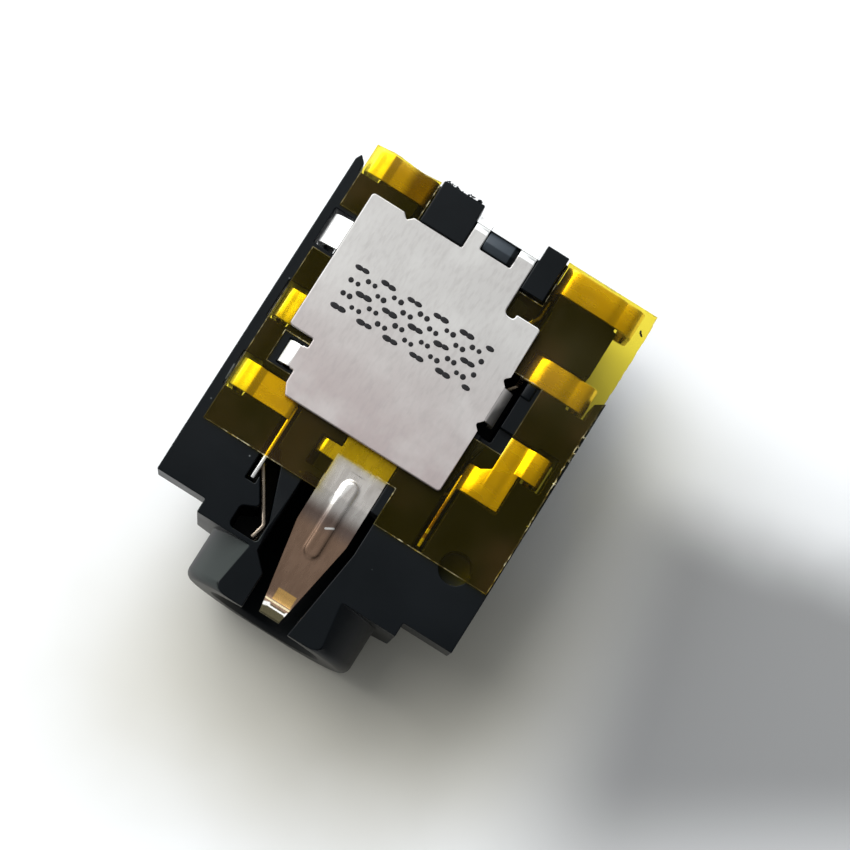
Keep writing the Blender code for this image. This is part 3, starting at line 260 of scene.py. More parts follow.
def moulded_finish(name="black_moulding"):
    finish = Finish(name)
    cloud = finish.noise(scale=420.0, detail=4.0)
    grain = finish.noise(scale=9000.0, detail=2.0)
    cell = finish.node("ShaderNodeTexVoronoi", out="Distance", Vector=finish.place, Scale=SPECK_GRID)
    cell_colour = finish.node("ShaderNodeTexVoronoi", out="Color", Vector=finish.place, Scale=SPECK_GRID)
    chance = finish.node("ShaderNodeSeparateColor", Color=cell_colour)
    specks = (1 - finish.step(cell, 0.03, 0.1)) * finish.step(chance, 0.9, 0.92)
    marks = finish.most(specks * 0.6, finish.stroke(*SCRATCH, 0.03 * MM) * 0.7)
    # Painted reflection: the peg's top is painted a lighter grey where it catches the window.
    peg_sheen = finish.step(finish.axis("Z"), PEG_SHEEN_LEVEL, PEG_SHEEN_LEVEL + 0.05 * MM)
    peg_sheen = peg_sheen * finish.band(finish.axis("X"), PEG_SIDES[0], PEG_SIDES[1], 0.05 * MM)
    tone = finish.mix(cloud, (0.0010, 0.0019, 0.0026), (0.0022, 0.0038, 0.0054))
    tone = finish.mix(peg_sheen * 0.8, tone, (0.055, 0.066, 0.078))
    # Painted light: the nose's left shoulder, which faces the window, is painted greyer.
    lit_shoulder = finish.step(-1 * finish.facing("X"), 0.22, 0.34) * finish.step(finish.facing("Z"), 0.2, 0.5)
    lit_shoulder = lit_shoulder * (1 - finish.step(finish.axis("X"), SHOULDER_INNER - 0.3 * MM, SHOULDER_INNER))
    lit_shoulder = lit_shoulder * (1 - finish.step(finish.axis("Y"), NOSE_END, NOSE_END + 0.1 * MM))
    tone = finish.mix(lit_shoulder, tone, (0.026, 0.031, 0.0285))
    tone = finish.mix(marks, tone, (0.17, 0.185, 0.19))
    finish.set(Base_Color=tone, Roughness=0.3 + cloud * 0.2, Specular_IOR_Level=0.15,
               Normal=finish.bump(grain * 0.4 + cloud * 2.0, 0.14, 0.003 * MM))
    return finish.material


black_moulding = moulded_finish()
print("made", black_moulding.name)

# %% [markdown]
# ## Rolled steel
#
# The cover plate is cold-rolled, tinned sheet with a satin face: half mirror, half chalk. Rolling
# leaves fine streaks along one way, so the grain is a noise stretched along Y. Handling leaves wide
# soft blotches, and towards the mouth the plate is a shade pinker. The folded tabs and the edges that
# face the rear are painted nearly white, a painted highlight where they lean towards the window. The
# right tab is painted dark over its fold, less metallic and rougher there, a painted shade.

# %% Make the plate's finish
RIGHT_FOLD = 2.36 * MM
FOLD_SHADE_CORNER = (2.3 * MM, along(9.5 * MM))
FOLD_SHADE_SLOPE = 0.6
FOLD_SHADE_FRONT = along(8.5 * MM)
LEFT_TAB = -4.28 * MM
SMALL_TAB = -3.55 * MM
SMALL_TAB_SPAN = (along(6.6 * MM), along(8.0 * MM))
REAR_TABS = along(13.56 * MM)
DULL_RIM = (-2.5 * MM, 1.1 * MM)
ROSY_SPAN = (along(5.5 * MM), along(11.5 * MM))


def rolled_finish(name="steel_plate"):
    finish = Finish(name)
    lines = finish.noise(scale=1.0, detail=4.0, roughness=0.6, vector=finish.stretched(30000.0, 2400.0, 9000.0))
    dashes = finish.noise(scale=1.0, detail=3.0, vector=finish.stretched(9000.0, 2900.0, 3000.0))
    blotch = finish.noise(scale=520.0, detail=4.0, roughness=0.6)
    across = finish.axis("X")
    place = finish.axis("Y")
    rosy = 1 - finish.step(place, *ROSY_SPAN)
    tone = finish.mix(rosy, (0.51, 0.495, 0.475), (0.40, 0.335, 0.325))
    shade = finish.step(dashes, 0.4, 0.75) * 0.3 + finish.step(lines, 0.3, 0.7) * 0.12
    tone = finish.mix(shade, tone, (0.33, 0.30, 0.29))
    tone = finish.mix(finish.step(blotch, 0.4, 0.72) * 0.35, tone, (0.62, 0.61, 0.585))
    # Painted shade: the right tab's fold and the plate's corner beside it are painted dark, less metallic and
    # rougher.
    corner = across - FOLD_SHADE_CORNER[0] + FOLD_SHADE_SLOPE * (FOLD_SHADE_CORNER[1] - place)
    fold_shade = finish.step(corner, 0.0, 0.5 * MM) * finish.step(across, RIGHT_FOLD, RIGHT_FOLD + 0.1 * MM)
    fold_shade = fold_shade * finish.step(place, FOLD_SHADE_FRONT, FOLD_SHADE_FRONT + 0.2 * MM)
    fold_shade = finish.most(fold_shade, 0.85 * finish.step(across, RIGHT_FOLD, RIGHT_FOLD + 0.22 * MM))
    tone = finish.mix(fold_shade * 0.95, tone, (0.05, 0.048, 0.046))
    # Painted highlight: the left, small and rear tabs and the edges facing the rear are painted nearly white; the
    # edges near the peg are left out.
    left_tab = 1 - finish.step(across, LEFT_TAB, LEFT_TAB + 0.04 * MM)
    small_tab = 1 - finish.step(across, SMALL_TAB - 0.06 * MM, SMALL_TAB)
    small_tab = small_tab * finish.band(place, *SMALL_TAB_SPAN, 0.05 * MM)
    rear_tabs = finish.step(place, REAR_TABS, REAR_TABS + 0.04 * MM)
    highlit_rim = finish.step(finish.facing("Y"), 0.2, 0.45) * finish.step(blotch, 0.3, 0.6)
    highlit_rim = highlit_rim * (1 - finish.band(across, *DULL_RIM, 0.2 * MM))
    bare_and_highlit = finish.most(left_tab, small_tab, rear_tabs, highlit_rim)
    tone = finish.mix(bare_and_highlit, tone, (0.95, 0.95, 0.93))
    finish.set(Base_Color=tone, Roughness=0.42 + blotch * 0.14 + fold_shade * 0.45, Metallic=0.5 - 0.5 * fold_shade,
               Normal=finish.bump(lines * 0.7 + dashes, 0.2, 0.004 * MM))
    return finish.material


steel_plate = rolled_finish()
print("made", steel_plate.name)

# %% [markdown]
# ## Plated spring sheet
#
# The contacts are thin copper alloy under a satin plating. They only look gold because the amber
# film lies over them. The left bends are painted brighter and less metallic, a painted highlight for
# the window's light that they throw back, while the flats keep a soft, smeared shade. The rear left
# terminal is painted dark brown at its inner end beside the rear post, a painted shade. The right
# blade is brown with two bright glints. In front of the film the hooked spring is painted beige brown,
# a painted shade in its pocket, and its top is near white.

# %% Make the contacts' finish
LEFT_BEND_HIGHLIGHT = (-4.36 * MM, -4.2 * MM)
INNER_SHADE_FRONT = along(13.1 * MM)
INNER_SHADE_SPAN = (-3.3 * MM, -2.2 * MM)
BLADE_SPAN = (2.6 * MM, 2.8 * MM)
BLADE_REAR = along(5.9 * MM)
GLINTS = ((along(4.42 * MM), along(4.68 * MM)), (along(4.9 * MM), along(5.02 * MM)))
HOOK_TOP = 4.6 * MM


def plated_finish(name="plated_contact"):
    finish = Finish(name)
    smear = finish.noise(scale=1.0, detail=3.0, vector=finish.stretched(900.0, 2600.0, 2600.0))
    fine = finish.noise(scale=5200.0, detail=2.0)
    across = finish.axis("X")
    place = finish.axis("Y")
    tone = finish.mix(smear, (0.84, 0.64, 0.42), (0.98, 0.80, 0.58))
    # Painted highlight: the left terminals' outer bends are painted brighter and less metallic.
    bend_highlight = 1 - finish.step(across, *LEFT_BEND_HIGHLIGHT)
    tone = finish.mix(bend_highlight, tone, (1.0, 1.0, 0.8))
    # Painted shade: the rear left terminal's inner end beside the rear post is painted dark brown.
    inner_end_shade = finish.step(place, INNER_SHADE_FRONT, INNER_SHADE_FRONT + 0.1 * MM) * finish.band(across, *INNER_SHADE_SPAN, 0.4 * MM)
    tone = finish.mix(inner_end_shade * 0.85, tone, (0.16, 0.09, 0.05))
    blade = finish.band(across, *BLADE_SPAN, 0.02 * MM) * (1 - finish.step(place, BLADE_REAR, BLADE_REAR + 0.4 * MM))
    glint = finish.band(place, *GLINTS[0], 0.04 * MM) + finish.band(place, *GLINTS[1], 0.04 * MM)
    tone = finish.mix(blade * (1 - glint), tone, (0.42, 0.25, 0.13))
    tone = finish.mix(blade * glint, tone, (1.0, 0.93, 0.7))
    # Painted shade: in front of the film the hooked spring is painted beige brown below its near white top.
    bare_and_highlit = (1 - finish.step(place, film_low.y, film_low.y + 0.1 * MM)) * (1 - finish.step(across, 0, MM))
    tone = finish.mix(bare_and_highlit, tone, (0.45, 0.37, 0.29))
    tip = bare_and_highlit * finish.step(finish.axis("Z"), HOOK_TOP, HOOK_TOP + 0.1 * MM)
    tone = finish.mix(tip, tone, (0.95, 0.93, 0.9))
    finish.set(Base_Color=tone, Roughness=0.2 + smear * 0.14, Metallic=0.82 - 0.5 * bend_highlight,
               Normal=finish.bump(fine * 0.4 + smear, 0.16, 0.006 * MM))
    return finish.material


plated_contact = plated_finish()
print("made", plated_contact.name)

# %% [markdown]
# ## The tongue's finish
#
# The ground contact's tongue stands in the film's window, so its own colours show. Its root is still
# silver. Past the bend it is painted a warm brown, partly the bronze where the plating gives way and
# partly painted shade where it slopes down away from the window. A small gold-plated patch marks
# where it meets the plug, with a painted highlight just in front of it, and the lifted tip is painted
# dark, a painted shade, with painted highlights on its corners and edge. A painted highlight also runs
# down the rib's left flank. Each stretch is a band along Y.

# %% Make the tongue's finish
SILVER_END = along(3.9 * MM)
BROWN_SHADE_END = along(3.1 * MM)
GOLD_SPAN = (-0.2 * MM, 0.38 * MM)
GOLD_PATCH = (along(0.76 * MM), along(1.12 * MM))
GOLD_EDGE_HIGHLIGHT = (along(0.66 * MM), along(0.70 * MM))
TIP_END = along(0.6 * MM)
TIP_CORNERS = ((-0.36 * MM, along(0.50 * MM)), (0.40 * MM, along(0.50 * MM)))
TIP_GLINTS = ((-0.24 * MM, along(0.54 * MM)), (0.41 * MM, along(0.54 * MM)))
RIB_NICK = ((0.02 * MM, along(3.36 * MM)), (0.24 * MM, along(3.48 * MM)))
RIB_SHINE = ((-0.08 * MM, along(4.9 * MM)), (-0.25 * MM, along(4.2 * MM)))


def tongue_finish(name="tongue_plating"):
    finish = Finish(name)
    place = finish.axis("Y")
    across = finish.axis("X")
    smear = finish.noise(scale=1.0, detail=4.0, vector=finish.stretched(5200.0, 1300.0, 1300.0))
    fine = finish.noise(scale=5200.0, detail=2.0)
    silver = finish.mix(smear, (0.50, 0.45, 0.41), (0.80, 0.76, 0.71))
    # Partly the bronze's own colour and partly painted shade where the tongue slopes down away from the window.
    brown_and_shade = finish.mix(smear, (0.13, 0.085, 0.065), (0.26, 0.19, 0.16))
    rosy = finish.mix(smear, (0.235, 0.14, 0.09), (0.40, 0.255, 0.175))
    tone = finish.mix(finish.step(place, BROWN_SHADE_END, BROWN_SHADE_END + 0.5 * MM), rosy, brown_and_shade)
    tone = finish.mix(finish.step(place, SILVER_END - 0.3 * MM, SILVER_END + 0.3 * MM), tone, silver)
    patch = finish.band(place, *GOLD_PATCH, 0.04 * MM) * finish.band(across, *GOLD_SPAN, 0.06 * MM)
    tone = finish.mix(patch, tone, (0.85, 0.50, 0.16))
    # Painted highlight: a bright line just in front of the gold patch.
    tone = finish.mix(finish.band(place, *GOLD_EDGE_HIGHLIGHT, 0.02 * MM), tone, (0.95, 0.80, 0.50))
    # Painted shade: the lifted tip is painted dark where it turns away from the window.
    tip = 1 - finish.step(place, TIP_END - 0.05 * MM, TIP_END)
    tone = finish.mix(tip, tone, (0.085, 0.072, 0.036))
    # Painted highlights: glints on the tip's corners, a line across the tip and a stroke down the rib's left flank;
    # the nick across the rib is painted bright too.
    glints = finish.stroke(TIP_CORNERS[0], TIP_GLINTS[0], 0.09 * MM)
    glints = glints + finish.stroke(TIP_CORNERS[1], TIP_GLINTS[1], 0.08 * MM)
    bright = finish.most(glints, finish.stroke(*TIP_CORNERS, 0.04 * MM), finish.stroke(*RIB_NICK, 0.045 * MM),
                         finish.stroke(*RIB_SHINE, 0.16 * MM) * 0.9)
    tone = finish.mix(bright, tone, (1.0, 0.97, 0.92))
    finish.set(Base_Color=tone, Roughness=0.2 + smear * 0.14, Metallic=0.75,
               Normal=finish.bump(fine * 0.4 + smear, 0.14, 0.006 * MM))
    return finish.material


tongue_plating = tongue_finish()
print("made", tongue_plating.name)

# %% [markdown]
# ## Amber film
#
# A film this thin doesn't bend light, it only colours it. A Transparent shader in the film's colour
# lets the lamps through as well as the eye, so what lies under it is lit and seen through amber
# twice. A thin share of a surface with a high index on top gives it its wet-looking sheen, and a
# slow cloud in that share makes it duller in places, as handled film is.

# %% Make the film's finish
FILM_TINT = (0.95, 0.86, 0.25)
HAZE_LEFT = (2.4 * MM, 3.4 * MM)
HAZE_SPAN = (along(10.6 * MM), along(12.0 * MM))


def film_finish(name="amber_film"):
    finish = Finish(name)
    cloud = finish.noise(scale=330.0, detail=3.0)
    haze = finish.step(finish.axis("X"), *HAZE_LEFT) * finish.band(finish.axis("Y"), *HAZE_SPAN, 1.4 * MM)
    veil = finish.mix(finish.step(cloud, 0.4, 0.65), (0.09, 0.075, 0.02), (0.19, 0.095, 0.03))
    finish.set(Base_Color=veil, Roughness=0.2 + cloud * 0.14, IOR=2.0, Specular_IOR_Level=0.8)
    clear = finish.node("ShaderNodeBsdfTransparent", Color=FILM_TINT)
    share = 0.02 + finish.step(cloud, 0.35, 0.7) * 0.035 + haze * 0.045
    mixed = finish.node("ShaderNodeMixShader", n0=share, n1=clear, n2=Wire(finish, finish.shader.outputs[0]))
    output = finish.tree.nodes["Material Output"]
    finish.tree.links.new(mixed.socket, output.inputs["Surface"])
    return finish.material


amber_film = film_finish()
print("made", amber_film.name)

# %% [markdown]
# ## Soften every edge
#
# The solids have knife edges, and real ones never do: moulded corners and stamped edges have a
# radius that catches light. Each solid is copied, its loose triangles are merged and joined into
# flat faces, and a small bevel rounds what is sharp. The copy then stands for the solid. The plate's
# thin folds leave a bevel no room, so edge weights keep it to the sharp upper outline, clear of the
# right tab.

# %% Copy a solid and round its edges
def smooth(value):
    """0 below 0, 1 above 1 and an S curve between them."""
    value = min(1.0, max(0.0, value))
    return value * value * (3 - 2 * value)


def pick(piece):
    """Make one piece the only one that is selected and active."""
    bpy.ops.object.select_all(action="DESELECT")
    piece.select_set(True)
    bpy.context.view_layer.objects.active = piece


def apply_modifiers(piece):
    pick(piece)
    for modifier in list(piece.modifiers):
        bpy.ops.object.modifier_apply(modifier=modifier.name)


def merged_copy(node, name):
    """A copy of a solid as one clean mesh with flat faces."""
    piece = bpy.data.objects.new(name, nodes[node].data.copy())
    bpy.context.scene.collection.objects.link(piece)
    piece.data.materials.clear()
    pick(piece)
    bpy.ops.object.mode_set(mode="EDIT")
    bpy.ops.mesh.select_all(action="SELECT")
    bpy.ops.mesh.remove_doubles(threshold=0.0001 * MM)
    bpy.ops.mesh.dissolve_limited(angle_limit=math.radians(0.5))
    bpy.ops.object.mode_set(mode="OBJECT")
    return piece


def weigh_edges(piece, angle, floor_level, spared):
    """Mark the sharp edges above a level and outside a spared box, so that only they are rounded."""
    pick(piece)
    bpy.ops.object.mode_set(mode="EDIT")
    bpy.ops.mesh.select_mode(type="EDGE")
    bpy.ops.mesh.select_all(action="DESELECT")
    bpy.ops.mesh.edges_select_sharp(sharpness=math.radians(angle))
    bpy.ops.object.mode_set(mode="OBJECT")
    weights = piece.data.attributes.new("bevel_weight_edge", "FLOAT", "EDGE")
    for edge in piece.data.edges:
        first, second = (piece.data.vertices[index].co for index in edge.vertices)
        middle = (first + second) / 2
        inside = spared[0].x < middle.x < spared[1].x and spared[0].y < middle.y < spared[1].y
        high = min(first.z, second.z) > floor_level
        weights.data[edge.index].value = float(edge.select and high and not inside)


def round_edges(piece, width, angle=32.0, segments=2, floor_level=None, spared=None):
    """Bevel the edges sharper than the angle, or only those above a level, and shade the rest smooth."""
    bevel = piece.modifiers.new("Edges", "BEVEL")
    bevel.width = width
    bevel.segments = segments
    bevel.limit_method = "ANGLE"
    bevel.angle_limit = math.radians(angle)
    if floor_level is not None:
        weigh_edges(piece, angle, floor_level, spared)
        bevel.limit_method = "WEIGHT"
    bevel.use_clamp_overlap = False
    bevel.miter_outer = "MITER_ARC"
    apply_modifiers(piece)
    bpy.ops.object.shade_smooth_by_angle(angle=math.radians(40.0))
    level = piece.modifiers.new("Flat faces", "WEIGHTED_NORMAL")
    level.keep_sharp = True
    apply_modifiers(piece)


def dress(piece, material, slot, *replaced):
    """Give a finished piece its material, its body and the solids it stands for; the slot is not used."""
    piece.data.materials.append(material)
    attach(piece, BODY)
    if replaced:
        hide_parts(*replaced)
    print(piece.name, len(piece.data.polygons), "faces")
    return piece


# %% Round the moulding
MOULD_RADIUS = 0.035 * MM

moulding = merged_copy("housing", "moulding")
round_edges(moulding, MOULD_RADIUS)
dress(moulding, black_moulding, "black_moulding", "housing")

# %% Round the plate
STAMPED_RADIUS = 0.04 * MM
OUTLINE_LEVEL = plate_high.z - 0.002 * MM
RIGHT_TAB = (Vector((2.0 * MM, along(8.1 * MM), 0)), Vector((2.8 * MM, along(10.6 * MM), 0)))

plate = merged_copy("cover_plate", "rolled_plate")
round_edges(plate, STAMPED_RADIUS, floor_level=OUTLINE_LEVEL, spared=RIGHT_TAB)
dress(plate, steel_plate, "steel_plate", "cover_plate")

# %% [markdown]
# ## Ease the terminals
#
# A press doesn't fold sheet at a line. On the right side each terminal droops before it turns down
# into its slot. The front one has a shallow groove before its crest, and the other two step down there
# instead of up. On the left side the crests are rounder than an arc, which spreads the light over
# them. Cuts across the sheet give it points, and the points are lowered along a curve. Only the top
# layer moves, not the springs.

# %% Lower the points along a curve
DROOPS = {"front_right_contact": (2.78 * MM, 0.46 * MM, 0.13 * MM),
          "mid_right_contact": (2.78 * MM, 0.46 * MM, 0.13 * MM),
          "rear_right_contact": (2.18 * MM, 0.38 * MM, 0.07 * MM)}
STEP_UP = 4.03 * MM
SUNK_DEPTH = 0.13 * MM
SUNK_CRESTS = ("mid_right_contact", "rear_right_contact")
GROOVE_PLACE = 3.96 * MM
GROOVE_DEPTH = 0.035 * MM
GROOVE_WIDTH = 0.09 * MM
LEFT_CONTACTS = ("front_left_contact", "rear_left_contact", "sleeve_contact")
LEAN_INNER = -4.2 * MM
LEAN_OUTER = -4.88 * MM
LEAN_DEPTH = 0.045 * MM
TOP_LAYER = 4.55 * MM
PROFILE_CUTS = 24


def right_drop(x, node):
    """How far a right terminal lies below its solid."""
    wall, length, depth = DROOPS[node]
    share = min(1.0, max(0.0, (wall + length - x) / length))
    if node in SUNK_CRESTS:
        crest = SUNK_DEPTH * smooth((x - STEP_UP + 0.08 * MM) / (0.3 * MM))
    else:
        crest = GROOVE_DEPTH * math.exp(-((x - GROOVE_PLACE) / GROOVE_WIDTH) ** 2)
    return depth * share * share + crest


def left_drop(x, node):
    """How far a left terminal's crest lies below its solid."""
    share = min(1.0, max(0.0, (x - LEAN_INNER) / (LEAN_OUTER - LEAN_INNER)))
    return LEAN_DEPTH * math.sin(math.pi * share) ** 2


def cut_across(piece, axis, first, last, count):
    """Give the mesh points on evenly spaced planes across an axis."""
    pick(piece)
    bpy.ops.object.mode_set(mode="EDIT")
    for cut in range(count + 1):
        reach = first + (last - first) * cut / count
        bpy.ops.mesh.select_all(action="SELECT")
        bpy.ops.mesh.bisect(plane_co=axis * reach, plane_no=axis)
    bpy.ops.object.mode_set(mode="OBJECT")


def ease_profile(piece, node, drop, first, last):
    cut_across(piece, Vector((1, 0, 0)), first, last, PROFILE_CUTS)
    for vertex in piece.data.vertices:
        held = smooth((vertex.co.z - TOP_LAYER) / (0.4 * MM))
        vertex.co.z -= drop(vertex.co.x, node) * held


# %% [markdown]
# ## Press the tongue anew
#
# The rib pressed into the tongue has a level top and steep flanks, and those flanks are what the eye
# sees: a bright line on the window's side and a dark one on the other. That takes an even grid, so
# the tongue is cut off the solid's copy and a grid takes its place. Rays cast down beside the rib
# measure the height of the old tongue, and the rib is added over it.

# %% Press the tongue
TONGUE_ROOT = 5.25 * MM
TONGUE_TIP = 0.18 * MM
TAPER_START = 3.18 * MM
ROOT_HALF = 0.88 * MM
TIP_HALF = 0.35 * MM
SHEET = 0.15 * MM
RIB_FRONT = 2.3 * MM
RIB_REAR = 5.05 * MM
RIB_MIDDLE = 0.03 * MM
RIB_HALF = 0.31 * MM
RIB_FLANK = 0.13 * MM
RIB_HEIGHT = 0.09 * MM
TONGUE_COLUMNS = 44
TONGUE_ROWS = 150


def tongue_half(distance):
    """Half width of the tongue at a distance from the mouth."""
    share = min(1.0, max(0.0, (TAPER_START - distance) / (TAPER_START - TONGUE_TIP)))
    return ROOT_HALF + (TIP_HALF - ROOT_HALF) * share


def rib_lift(x, distance):
    """Height of the rib over the tongue: a stadium with a level top."""
    nearest = min(max(distance, RIB_FRONT + RIB_HALF), RIB_REAR - RIB_HALF)
    away = math.hypot(x - RIB_MIDDLE, distance - nearest)
    return RIB_HEIGHT * smooth((RIB_HALF - away) / RIB_FLANK)


def tongue_levels(solid):
    """Height of the old tongue's upper face in each row, measured beside its rib."""
    levels = []
    for row in range(TONGUE_ROWS + 1):
        distance = TONGUE_TIP + (TONGUE_ROOT - TONGUE_TIP) * row / TONGUE_ROWS
        inside = min(max(distance, TONGUE_TIP + 0.003 * MM), TONGUE_ROOT)
        above = Vector((0.86 * tongue_half(inside), along(inside), 10 * MM))
        found, place, normal, index = solid.ray_cast(above, Vector((0, 0, -1)))
        levels.append((distance, place.z))
    return levels


def cut_tongue_off(piece):
    pick(piece)
    bpy.ops.object.mode_set(mode="EDIT")
    bpy.ops.mesh.select_all(action="SELECT")
    bpy.ops.mesh.bisect(plane_co=(0, along(TONGUE_ROOT), 0), plane_no=(0, 1, 0), use_fill=True, clear_inner=True)
    bpy.ops.object.mode_set(mode="OBJECT")


def new_tongue(levels):
    bpy.ops.object.select_all(action="DESELECT")
    bpy.ops.mesh.primitive_grid_add(x_subdivisions=TONGUE_COLUMNS, y_subdivisions=TONGUE_ROWS, size=1)
    piece = bpy.context.active_object
    piece.name = "tongue_sheet"
    for vertex in piece.data.vertices:
        row = round((vertex.co.y + 0.5) * TONGUE_ROWS)
        distance, level = levels[row]
        x = vertex.co.x * 2 * tongue_half(distance)
        vertex.co = (x, along(distance), level + rib_lift(x, distance))
    wall = piece.modifiers.new("Sheet", "SOLIDIFY")
    wall.thickness = SHEET
    wall.offset = -1
    apply_modifiers(piece)
    round_edges(piece, 0.007 * MM, segments=1)
    return piece


# %% Round the contacts
SPRING_RADIUS = 0.02 * MM

for node in sorted(nodes):
    if node.endswith("_contact"):
        contact = merged_copy(node, node.replace("_contact", "_spring"))
        if node in DROOPS:
            ease_profile(contact, node, right_drop, DROOPS[node][0], STEP_UP + 0.3 * MM)
        if node in LEFT_CONTACTS:
            ease_profile(contact, node, left_drop, LEAN_OUTER + 0.02 * MM, LEAN_INNER)
        if node == "sleeve_contact":
            levels = tongue_levels(contact)
            cut_tongue_off(contact)
        round_edges(contact, SPRING_RADIUS)
        own_finish = tongue_plating if node == "sleeve_contact" else plated_contact
        dress(contact, own_finish, "plated_contact", node)

dress(new_tongue(levels), tongue_plating, "plated_contact")

# %% [markdown]
# ## The film as a sheet that lies uneasily
#
# Real film is never flat: it lifts over the contacts, and its cut edges wander. A fine grid is
# pushed up by a slow noise where nothing holds it down, and by one broad bulge over the rear left
# terminal. It is given its thickness and then trimmed to the film's outline by a tall copy of the
# solid, whose long right edge and rear edge are roughened first.

# %% Say how far the film lifts
FILM_CELL = 0.12 * MM
FILM_THICKNESS = film_high.z - film_low.z
FILM_MIDDLE = (film_high.z + film_low.z) / 2
HELD_LEFT = -4.24 * MM
HELD_RIGHT = 2.45 * MM
HELD_FRONT = along(6.0 * MM)
HELD_REAR = along(12.9 * MM)
BULGE_PLACE = along(13.82 * MM)


def film_lift(x, y):
    """Height of the film over its flat state; nothing under the plate."""
    outside = max(HELD_LEFT - x, x - HELD_RIGHT, HELD_FRONT - y, y - HELD_REAR)
    loose = smooth(outside / (0.4 * MM))
    wave = noise.noise(Vector((x * 700, y * 520, 3.0))) + 0.4 * noise.noise(Vector((x * 1700, y * 1500, 7.0)))
    lift = 0.028 * MM * loose * max(0.0, 0.8 + wave)
    beside = smooth((-2.7 * MM - x) / (0.5 * MM)) * smooth((x + 5.1 * MM) / (0.5 * MM))
    ridge = math.exp(-((y - BULGE_PLACE) / (0.34 * MM)) ** 2)
    return lift + 0.085 * MM * loose * beside * ridge


# %% Roughen the edges of the cutter
EDGE_CUTS = 80


def subdivide_edges(piece, is_wanted, cuts):
    """Cut the edges that the test wants into shorter ones."""
    pick(piece)
    bpy.ops.object.mode_set(mode="EDIT")
    bpy.ops.mesh.select_mode(type="EDGE")
    bpy.ops.mesh.select_all(action="DESELECT")
    bpy.ops.object.mode_set(mode="OBJECT")
    for edge in piece.data.edges:
        first, second = (piece.data.vertices[index].co for index in edge.vertices)
        edge.select = is_wanted(first, second)
    bpy.ops.object.mode_set(mode="EDIT")
    bpy.ops.mesh.subdivide(number_cuts=cuts)
    bpy.ops.object.mode_set(mode="OBJECT")


def on_right_edge(first, second):
    return min(first.x, second.x) > film_high.x - 0.01 * MM and abs(first.y - second.y) > MM


def on_rear_left_edge(first, second):
    behind = min(first.y, second.y) > film_high.y - 0.01 * MM
    return behind and max(first.x, second.x) < -2 * MM and abs(first.x - second.x) > MM


def film_cutter():
    """Tall copy of the film's solid with wandering edges."""
    cutter = merged_copy("insulating_film", "film_cutter")
    bpy.ops.object.mode_set(mode="EDIT")
    bpy.ops.mesh.select_all(action="SELECT")
    bpy.ops.transform.resize(value=(1, 1, 12), center_override=(0, 0, FILM_MIDDLE))
    bpy.ops.object.mode_set(mode="OBJECT")
    subdivide_edges(cutter, on_right_edge, EDGE_CUTS)
    subdivide_edges(cutter, on_rear_left_edge, EDGE_CUTS // 4)
    for vertex in cutter.data.vertices:
        place = vertex.co
        if place.x > film_high.x - 0.01 * MM:
            ragged = abs(noise.noise(Vector((place.y * 9000, 1.5, 0))))
            place.x -= 0.045 * MM * ragged + 0.02 * MM * (1 + math.sin(place.y * 900))
        elif place.y > film_high.y - 0.01 * MM and place.x < -2 * MM:
            place.y -= 0.035 * MM * (1 + math.sin(place.x * 3600 + 1)) + 0.02 * MM * noise.noise(place * 5000)
    return cutter


cutter = film_cutter()
print("cutter has", len(cutter.data.vertices), "points")

# %% Lay the film
def wavy_film():
    """Fine grid with its waves, its thickness and its outline."""
    width = film_high.x - film_low.x + 4 * FILM_CELL
    length = film_high.y - film_low.y + 4 * FILM_CELL
    middle = ((film_high.x + film_low.x) / 2, (film_high.y + film_low.y) / 2, FILM_MIDDLE)
    bpy.ops.object.select_all(action="DESELECT")
    bpy.ops.mesh.primitive_grid_add(x_subdivisions=round(width / FILM_CELL), y_subdivisions=round(length / FILM_CELL),
                                    size=1, location=middle)
    sheet = bpy.context.active_object
    sheet.name = "film_sheet"
    sheet.scale = (width, length, 1)
    bpy.ops.object.transform_apply(location=True, rotation=True, scale=True)
    for vertex in sheet.data.vertices:
        vertex.co.z += film_lift(vertex.co.x, vertex.co.y)
    solid = sheet.modifiers.new("Thickness", "SOLIDIFY")
    solid.thickness = FILM_THICKNESS
    solid.offset = 0
    trim = sheet.modifiers.new("Outline", "BOOLEAN")
    trim.operation = "INTERSECT"
    trim.solver = "EXACT"
    trim.object = cutter
    apply_modifiers(sheet)
    bpy.ops.object.shade_smooth_by_angle(angle=math.radians(40.0))
    return sheet


film = wavy_film()
dress(film, amber_film, "amber_film", "insulating_film")
bpy.data.objects.remove(cutter)

# %% [markdown]
# ## The film's pale cut edge
#
# Where a blade has gone through the film, its cut edge catches the light as a thin pale line; here
# that line is a pale strip, a painted highlight. The walls of the sheet are copied, raised a hair and
# given a thickness of their own.

# %% Line the film's edges
RIM_WIDTH = 0.028 * MM
RIM_RISE = 0.004 * MM


def edge_finish(name="film_edge"):
    finish = Finish(name)
    pale_spots = finish.noise(scale=4200.0, detail=3.0)
    gone = finish.step(finish.noise(scale=900.0, detail=2.0), 0.42, 0.62)
    gone = gone * (0.3 + 0.7 * finish.step(finish.axis("X"), -4.6 * MM, -4.0 * MM))
    # Painted highlight: the rim is pale in spots where the cut edge catches the light; the film's shreds take the
    # same finish.
    tone = finish.mix(finish.step(pale_spots, 0.35, 0.65), (0.30, 0.23, 0.07), (0.80, 0.75, 0.52))
    finish.set(Base_Color=tone, Roughness=0.45, Alpha=0.04 + 0.38 * gone * finish.step(pale_spots, 0.4, 0.6))
    return finish.material


